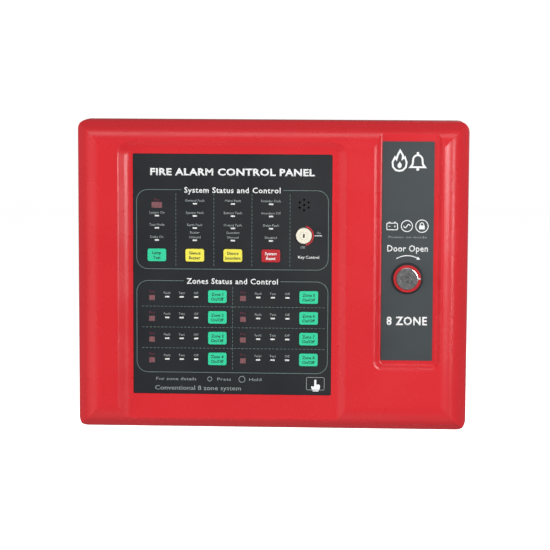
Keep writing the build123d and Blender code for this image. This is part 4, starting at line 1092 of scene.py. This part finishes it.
class PANEL_OT_chip_parts(PanelStep, Operator):
    """Mount the small chip resistors and capacitors on both boards"""
    bl_idname = "panel.chip_parts"
    bl_label = "Mount Chip Parts"

    def execute(self, context):
        sizes = context.scene.panel_electronics
        kinds = (("resistor", "chip_black", 0.45), ("capacitor", "ceramic", 0.8))
        for board, body, facing in BOARDS:
            points = self.spots(board, facing, sizes)
            for n, (kind, finish, height) in enumerate(kinds):
                depth = board_face(board, facing) + facing * height * MM / 2
                chosen = [(x, depth, z) for x, z in points[n::2]]
                long, wide = sizes.chip_length, sizes.chip_length * 0.5
                parts = ((f"{board}_{kind}s", (long * 0.36, height * MM, wide), (long * 0.16, 0, 0), finish),
                         (f"{board}_{kind}_ends", (long * 0.2, height * MM * 1.06, wide * 1.04),
                          (long * 0.42, 0, 0), "solder"))
                for name, span, shift, look in parts:
                    tree = block_tree(name, span, shift, sizes.seed + n, MATERIALS[look])
                    tree.run(points_mesh(name, chosen), name, body, "board_green", [MATERIALS[look]])
        return {"FINISHED"}

    def spots(self, board, facing, sizes):
        """Free places on a board, row by row, about a third of them taken."""
        chance = random.Random(sizes.seed)
        low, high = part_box(f"{board}_board")
        taken = covered(board, facing)
        keep = sizes.chip_length * 0.9
        step = sizes.chip_spacing
        fill = 0.34
        found = []
        for j in range(int((high.z - low.z) / step) - 1):
            for i in range(int((high.x - low.x) / step) - 1):
                x, z = low.x + (i + 1) * step, low.z + (j + 1) * step
                if chance.random() < fill and clear_of(taken, x, z, keep):
                    found.append((x, z))
        return found


class PANEL_OT_solder_joints(PanelStep, Operator):
    """Solder the pins of the windows' lamps, the keys' switches and the buzzer"""
    bl_idname = "panel.solder_joints"
    bl_label = "Solder Joints"

    def execute(self, context):
        radius = context.scene.panel_electronics.solder
        face = board_face("display", REAR)
        pins = []
        for node, across, up in (("status_leds", (1.27,), (0,)), ("fire_leds", (1.27,), (0,)),
                                 ("tact_switches", (3.25,), (-2.25, 2.25)), ("buzzer", (3.8,), (0,))):
            for box in islands(node):
                spot = middle(box)
                pins += [(spot.x + side * a * MM, face, spot.z + b * MM) for side in (-1, 1) for a in across
                         for b in up]
        taken = covered("display", REAR)
        free = [(x, y, z) for x, y, z in pins if clear_of(taken, x, z, radius)]
        tree = solder_tree("solder", radius, radius * 1.1, REAR, MATERIALS["solder"])
        tree.run(points_mesh("solder", free), "display_solder_joints", DOOR, "board_green",
                 [MATERIALS["solder"]], 40)
        return {"FINISHED"}


class PANEL_OT_board_print(PanelStep, Operator):
    """Print outlines and plain words on both boards"""
    bl_idname = "panel.board_print"
    bl_label = "Print Boards"

    def execute(self, context):
        main = Print("main_board_print", BOX, "board_green", finishes("ink"),
                     board_face("main", FRONT))
        for node in ("relays", "fuse_holders", "main_ribbon_header", "heatsink"):
            for low, high in islands(node):
                self.outline(main, low, high)
        for low, high in islands("capacitors"):
            spot = (low + high) / 2
            main.ring(spot.x, spot.z, (high.x - low.x) / 2 + 0.7 * MM, 0.3 * MM, "ink")
        blocks = islands("zone_terminals")
        words = ("ZONES 1 - 4", "ZONES 5 - 8", "SOUNDERS", "RELAYS")
        for (low, high), text in zip(blocks, words):
            main.words(text, 3.0 * MM, (low.x + high.x) / 2, low.z - 4.0 * MM, "ink", 0.01)
            for k in range(12):
                x = low.x + (k + 0.5) * (high.x - low.x) / 12
                main.stroke([(x, low.z - 0.6 * MM), (x, low.z - 1.8 * MM)], 0.35 * MM, "ink")
        for n, (low, high) in enumerate(islands("relays"), 1):
            main.words(f"RL{n}", 2.0 * MM, (low.x + high.x) / 2, low.z - 3.0 * MM, "ink", 0.01)
        for n, (low, high) in enumerate(islands("fuse_holders"), 1):
            main.words(f"F{n}", 2.0 * MM, (low.x + high.x) / 2, high.z + 2.6 * MM, "ink", 0.01)
        main.finish()
        rear = Print("display_board_print", DOOR, "board_green", finishes("ink"),
                     board_face("display", REAR), REAR)
        for low, high in islands("display_controller") + islands("display_ribbon_header"):
            self.outline(rear, low, high)
        low, high = islands("display_ribbon_header")[0]
        rear.words("MAIN BOARD", 2.6 * MM, (low.x + high.x) / 2, high.z + 3.4 * MM, "ink", 0.01)
        rear.finish()
        return {"FINISHED"}

    def outline(self, sheet, low, high):
        """Line round a part, just clear of it."""
        gap = 0.8 * MM
        sheet.stroke([(low.x - gap, low.z - gap), (high.x + gap, low.z - gap), (high.x + gap, high.z + gap),
                      (low.x - gap, high.z + gap)], 0.3 * MM, "ink", closed=True)


class PANEL_OT_capacitors(PanelStep, Operator):
    """Replace the plain capacitors with sleeved cans that have a scored top and a stripe"""
    bl_idname = "panel.capacitors"
    bl_label = "Detail Capacitors"

    def execute(self, context):
        cans = Build("sleeved_capacitors", BOX, "can_sleeve",
                     finishes("can_sleeve", "solder", "chip_black", "paper"))
        for low, high in islands("capacitors"):
            spot = Vector(((low.x + high.x) / 2, high.y, (low.z + high.z) / 2))
            radius, tall = (high.x - low.x) / 2, high.y - low.y
            lip, wall = 0.9 * MM, 0.35 * MM
            foot = 0.02 * MM
            cans.turned([(0, foot), (radius - 0.4 * MM, foot), (radius, 0.5 * MM), (radius, tall - lip),
                         (radius - 0.25 * MM, tall - lip / 3), (radius - lip, tall),
                         (radius - lip - wall, tall - wall), (0, tall - wall)],
                        spot, (0, -1, 0), "can_sleeve", 40)
            top = low.y + wall
            disc = radius - lip
            cans.turned([(0, -0.05 * MM), (disc - wall, -0.05 * MM), (disc - 2 * wall, 0.12 * MM),
                         (0, 0.12 * MM)], (spot.x, top, spot.z), (0, -1, 0), "solder", 40)
            arm, score = disc * 0.62, 0.22 * MM
            for across, up in ((arm, score), (score, arm)):
                cans.block((spot.x - across, top - 0.16 * MM, spot.z - up),
                           (spot.x + across, top - 0.06 * MM, spot.z + up), "chip_black")
            self.stripe(cans, spot, radius + 0.03 * MM, tall)
        piece = cans.finish(35)
        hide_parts("capacitors")
        return {"FINISHED"}

    def stripe(self, cans, spot, radius, tall):
        """Pale band down the sleeve that marks the minus lead."""
        ring = arc(0, 0, radius, 60, 120, 8)
        inner = arc(0, 0, radius - 0.1 * MM, 120, 60, 8)
        cans.prism([(spot.x + x, spot.z + z) for x, z in ring + inner], spot.y - tall + 1.2 * MM,
                   spot.y - 0.8 * MM, "paper")


class PANEL_OT_fuses(PanelStep, Operator):
    """Replace the plain fuses with glass tubes, end caps and a wire"""
    bl_idname = "panel.fuses"
    bl_label = "Detail Fuses"

    def execute(self, context):
        fuses = Build("glass_tube_fuses", BOX, "fuse_glass",
                      finishes("fuse_glass", "tinned_brass"))
        for low, high in islands("glass_fuses"):
            start = Vector((low.x, (low.y + high.y) / 2, (low.z + high.z) / 2))
            length, radius = high.x - low.x, (high.y - low.y) / 2
            cap, wall = 4.8 * MM, 0.15 * MM
            glass = radius - wall
            first, last = cap * 0.5, length - cap * 0.5
            fuses.turned([(0, first), (glass, first), (glass, last), (0, last)], start, (1, 0, 0),
                         "fuse_glass", 24)
            ease = 0.3 * MM
            for at in (0, length - cap):
                fuses.turned([(0, at), (radius - ease, at), (radius, at + ease), (radius, at + cap - ease),
                              (radius - ease, at + cap), (0, at + cap)],
                             start, (1, 0, 0), "tinned_brass", 24)
        piece = fuses.finish(35)
        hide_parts("glass_fuses")
        wire = Build("fuse_wires", BOX, "fuse_glass", finishes("copper"))
        for low, high in islands("glass_fuses"):
            spot = (low + high) / 2
            radius, length = 0.12 * MM, 11 * MM
            wire.turned([(0, 0), (radius, 0), (radius, length), (0, length)],
                        (spot.x - length / 2, spot.y, spot.z), (1, 0, 0), "copper", 8)
        wire.finish(35)
        return {"FINISHED"}


class PANEL_OT_transformer(PanelStep, Operator):
    """Show the transformer's plates and the turns of its winding"""
    bl_idname = "panel.transformer"
    bl_label = "Detail Transformer"

    def execute(self, context):
        sizes = context.scene.panel_electronics
        low, high = max(islands("transformer_core"), key=lambda box: box[1].x - box[0].x)
        count = int((high.y - low.y) / sizes.lamination)
        plate = Print("plate", BOX, "core_steel", finishes("core_steel"), low.y)
        plate.thickness = sizes.lamination * 0.55
        proud = 0.12 * MM
        plate.stroke([(low.x, low.z), (high.x, low.z), (high.x, high.z), (low.x, high.z)], 2 * proud,
                     "core_steel", closed=True)
        for vert in plate.mesh.verts:
            vert.co.y += sizes.lamination * 0.62
        tree = row_tree("laminations", count, (0, sizes.lamination, 0), MATERIALS["core_steel"])
        tree.run(plate.as_mesh(), "core_laminations", BOX, "core_steel", [MATERIALS["core_steel"]])
        self.winding(sizes)
        return {"FINISHED"}

    def winding(self, sizes):
        """Turns of tape-bound wire round the front of the coil."""
        low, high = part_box("transformer_coil")
        wire = sizes.wire
        end_gap = 3.5 * MM
        length = high.x - low.x - 2 * end_gap
        loop = Build("turn", BOX, "coil_tape", finishes("copper"))
        loop.turned([(0, 0), (wire * 0.32, 0), (wire * 0.46, wire * 0.1), (wire * 0.46, length), (0, length)],
                    (low.x + end_gap, low.y, low.z + wire), (1, 0, 0), "copper", 8)
        count = int((high.z - low.z - 2 * wire) / wire)
        tree = row_tree("winding", count, (0, 0, wire), MATERIALS["copper"])
        tree.run(loop.as_mesh(), "coil_winding", BOX, "coil_tape", [MATERIALS["copper"]], 40)
        label = Build("coil_band", BOX, "coil_tape", finishes("coil_tape"))
        middle_z = (low.z + high.z) / 2
        label.block((low.x + 2 * MM, low.y - 0.9 * wire, middle_z - 9 * MM),
                    (high.x - 2 * MM, low.y - 0.3 * wire, middle_z + 9 * MM), "coil_tape", 0.2 * MM)
        label.finish()


class PANEL_OT_batteries(PanelStep, Operator):
    """Label the batteries and mark their terminals"""
    bl_idname = "panel.batteries"
    bl_label = "Label Batteries"

    def execute(self, context):
        inks = finishes("paper", "dark_ink", "red_ink", "ink")
        low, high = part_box("battery_front")
        clamp_low, clamp_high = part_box("battery_clamp")
        centre_z = (low.z + high.z) / 2 - 4 * MM
        sheet = Print("battery_label", BOX, "battery_grey", inks, low.y)
        papers = ((low.x + 10 * MM, clamp_low.x - 8 * MM), (clamp_high.x + 8 * MM, high.x - 10 * MM))
        for x0, x1 in papers:
            sheet.shape(rounded(x0, x1, centre_z - 15 * MM, centre_z + 15 * MM, 2 * MM, 4)[1:], "paper")
        sheet.finish()
        paper_face = low.y - context.scene.panel_print.thickness
        words = Print("battery_words", BOX, "battery_grey", inks, paper_face)
        left, right = [sum(ends) / 2 for ends in papers]
        words.words("12 V", 9.0 * MM, left, centre_z + 3 * MM, "dark_ink", 0.03)
        words.words("SEALED BATTERY", 3.4 * MM, left, centre_z - 8.5 * MM, "dark_ink", 0.01)
        words.words("24 V PAIR", 5.0 * MM, right, centre_z + 5 * MM, "dark_ink", 0.02)
        words.words("RECHARGEABLE", 3.4 * MM, right, centre_z - 5 * MM, "dark_ink", 0.01)
        for x, ink, text in ((low.x + 14 * MM, "red_ink", "+"), (high.x - 14 * MM, "ink", "-")):
            words.words(text, 5.0 * MM, x, high.z - 4.2 * MM, ink, 0.03)
        words.finish()
        return {"FINISHED"}


class PANEL_OT_cover_ribs(PanelStep, Operator):
    """Mould the stiffening ribs inside the rim of the cover"""
    bl_idname = "panel.cover_ribs"
    bl_label = "Mould Cover Ribs"

    def execute(self, context):
        sizes = context.scene.panel_ribs
        low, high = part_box("door_cover")
        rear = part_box("back_box")[0].y - sizes.clear
        for name, side, along in (("top", Vector((0, 0, 1)), Vector((1, 0, 0))),
                                  ("bottom", Vector((0, 0, -1)), Vector((1, 0, 0))),
                                  ("right", Vector((1, 0, 0)), Vector((0, 0, 1))),
                                  ("left", Vector((-1, 0, 0)), Vector((0, 0, 1)))):
            half = abs(side.dot((high - low) / 2)) - sizes.wall * 0.6
            span = abs(along.dot((high - low) / 2)) - sizes.inset
            count = int(2 * span / sizes.pitch)
            start = -(count - 1) * sizes.pitch / 2
            rib = bmesh.new()
            front = low.y + sizes.front
            outline = ((half, rear), (half - sizes.depth, rear), (half - sizes.reach, front),
                       (half - sizes.lean, front), (half, low.y + sizes.rise))
            faces_at = [along * (start + t * sizes.thickness / 2) for t in (-1, 1)]
            rings = [[rib.verts.new(side * out + Vector((0, y, 0)) + at) for out, y in outline]
                     for at in faces_at]
            rib.faces.new(rings[0])
            rib.faces.new(rings[1])
            for k in range(len(outline)):
                after = (k + 1) % len(outline)
                rib.faces.new((rings[0][k], rings[0][after], rings[1][after], rings[1][k]))
            bmesh.ops.recalc_face_normals(rib, faces=rib.faces)
            data = bpy.data.meshes.new("rib")
            rib.to_mesh(data)
            rib.free()
            tree = row_tree("ribs_" + name, count, along * sizes.pitch, MATERIALS["red_abs"])
            tree.run(data, f"cover_ribs_{name}", DOOR, "red_abs", [MATERIALS["red_abs"]])
        return {"FINISHED"}


# Each light's place, its width and height, and whether it makes highlights, in metres
LIGHTS = {
    "front": ((1.25, -2.1, 0.55), (0.8, 1.2), True),
    "side": ((1.65, -0.95, 0.25), (0.11, 1.0), True),
    "left": ((-2.3, -1.1, 0.10), (2.2, 2.4), False),
    "top": ((-0.1, -0.9, 2.2), (2.0, 0.8), True),
    "low": ((-0.3, -0.5, -1.9), (2.0, 1.4), False),
    "back": ((1.2, 2.2, 1.0), (1.6, 1.6), True),
}


class PANEL_OT_stage(PanelStep, Operator):
    """Set the pale floor, the soft lights and the camera"""
    bl_idname = "panel.stage"
    bl_label = "Stage"

    def execute(self, context):
        studio = context.scene.panel_studio
        scene = context.scene
        self.floor(scene, studio)
        self.surround(scene, studio)
        for side, (spot, span, gloss) in LIGHTS.items():
            self.light(side + "_light", getattr(studio, side + "_power"), span, Vector(spot), gloss)
        self.camera(scene, studio)
        return {"FINISHED"}

    def floor(self, scene, studio):
        """Wide pale dish that only the camera sees."""
        data = bpy.data.meshes.new("floor")
        sweep = bmesh.new()
        level = CAD_BOX[0].z - studio.floor_drop
        rise = arc(studio.floor_reach, level + studio.floor_rim, studio.floor_rim, -90, 0, 12)
        profile = [sweep.verts.new((r, 0, z)) for r, z in [(0, level)] + rise]
        edges = [sweep.edges.new(pair) for pair in zip(profile, profile[1:])]
        bmesh.ops.spin(sweep, geom=profile + edges, cent=(0, 0, 0), axis=(0, 0, 1), angle=2 * math.pi,
                       steps=96)
        bmesh.ops.remove_doubles(sweep, verts=sweep.verts, dist=1e-5)
        bmesh.ops.recalc_face_normals(sweep, faces=sweep.faces)
        sweep.to_mesh(data)
        sweep.free()
        data.shade_smooth()
        floor = bpy.data.objects.new("floor", data)
        scene.collection.objects.link(floor)
        grey = (0.86, 0.86, 0.86)
        pale = shader("pale_floor", grey, 0.8, emission_color=(1, 1, 1, 1), emission_strength=studio.glow)
        mottle(pale, grey, 0.01, 3.0)
        data.materials.append(pale)
        floor.visible_diffuse = False
        floor.visible_glossy = False
        floor.visible_shadow = False
        return floor

    def surround(self, scene, studio):
        """Even white light from all round."""
        world = bpy.data.worlds.new("studio")
        world.use_nodes = True
        background = world.node_tree.nodes["Background"].inputs
        background["Color"].default_value = (1.0, 1.0, 1.0, 1.0)
        background["Strength"].default_value = studio.sky
        scene.world = world
        scene.view_settings.view_transform = "Standard"

    def light(self, name, power, span, spot, gloss):
        """Soft light, wide and high as span says, aimed at the panel."""
        data = bpy.data.lights.new(name, "AREA")
        data.energy = power
        data.shape = "RECTANGLE"
        data.size, data.size_y = span
        lamp = bpy.data.objects.new(name, data)
        bpy.context.scene.collection.objects.link(lamp)
        lamp.visible_glossy = gloss
        turn = (middle(CAD_BOX) - spot).to_track_quat("-Z", "Y")
        lamp.matrix_world = Matrix.Translation(spot) @ turn.to_matrix().to_4x4()

    def camera(self, scene, studio):
        """Long lens, a little above and to the right of the panel."""
        pitch, yaw, roll = studio.pitch, studio.yaw, studio.roll
        across = Vector((math.cos(yaw), -math.sin(yaw), 0))
        ahead = Vector((math.cos(pitch) * math.sin(yaw), math.cos(pitch) * math.cos(yaw), -math.sin(pitch)))
        up = Vector((math.sin(pitch) * math.sin(yaw), math.sin(pitch) * math.cos(yaw), math.cos(pitch)))
        right = across * math.cos(roll) + up * math.sin(roll)
        top = up * math.cos(roll) - across * math.sin(roll)
        data = bpy.data.cameras.new("camera")
        data.lens = studio.lens
        data.sensor_width = 36.0
        data.clip_end = 50.0
        eye = bpy.data.objects.new("camera", data)
        scene.collection.objects.link(eye)
        turn = Matrix((right, top, -ahead)).transposed().to_4x4()
        spot = across * studio.aim_x + up * studio.aim_z - ahead * studio.distance
        eye.matrix_world = Matrix.Translation(spot) @ turn
        scene.camera = eye


STEPS = (
    PANEL_OT_finish_frame,
    PANEL_OT_print_fascia,
    PANEL_OT_print_dashes,
    PANEL_OT_print_keys,
    PANEL_OT_print_label,
    PANEL_OT_chip_parts,
    PANEL_OT_solder_joints,
    PANEL_OT_board_print,
    PANEL_OT_capacitors,
    PANEL_OT_fuses,
    PANEL_OT_transformer,
    PANEL_OT_batteries,
    PANEL_OT_cover_ribs,
    PANEL_OT_stage,
)
SETTINGS = {"panel_colours": PanelColours, "panel_print": PanelPrint, "panel_electronics": PanelElectronics,
            "panel_ribs": PanelRibs, "panel_studio": PanelStudio}


class PANEL_PT_sidebar(Panel):
    """Steps and settings of the alarm panel"""
    bl_idname = "PANEL_PT_sidebar"
    bl_label = "Alarm Panel"
    bl_space_type = "VIEW_3D"
    bl_region_type = "UI"
    bl_category = "Alarm Panel"

    def draw(self, context):
        for step in STEPS:
            self.layout.operator(step.bl_idname)
        for name in SETTINGS:
            column = self.layout.column()
            settings = getattr(context.scene, name)
            for key in settings.__annotations__:
                column.prop(settings, key)


CLASSES = (*SETTINGS.values(), *STEPS, PANEL_PT_sidebar)


def register():
    for made in CLASSES:
        bpy.utils.register_class(made)
    for name, group in SETTINGS.items():
        setattr(bpy.types.Scene, name, PointerProperty(type=group))


def unregister():
    for name in SETTINGS:
        delattr(bpy.types.Scene, name)
    for made in reversed(CLASSES):
        bpy.utils.unregister_class(made)


def main():
    """Registers the add-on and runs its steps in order."""
    register()
    for step in STEPS:
        getattr(bpy.ops.panel, step.bl_idname.partition(".")[2])()
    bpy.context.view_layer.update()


if __name__ == "__main__":
    main()
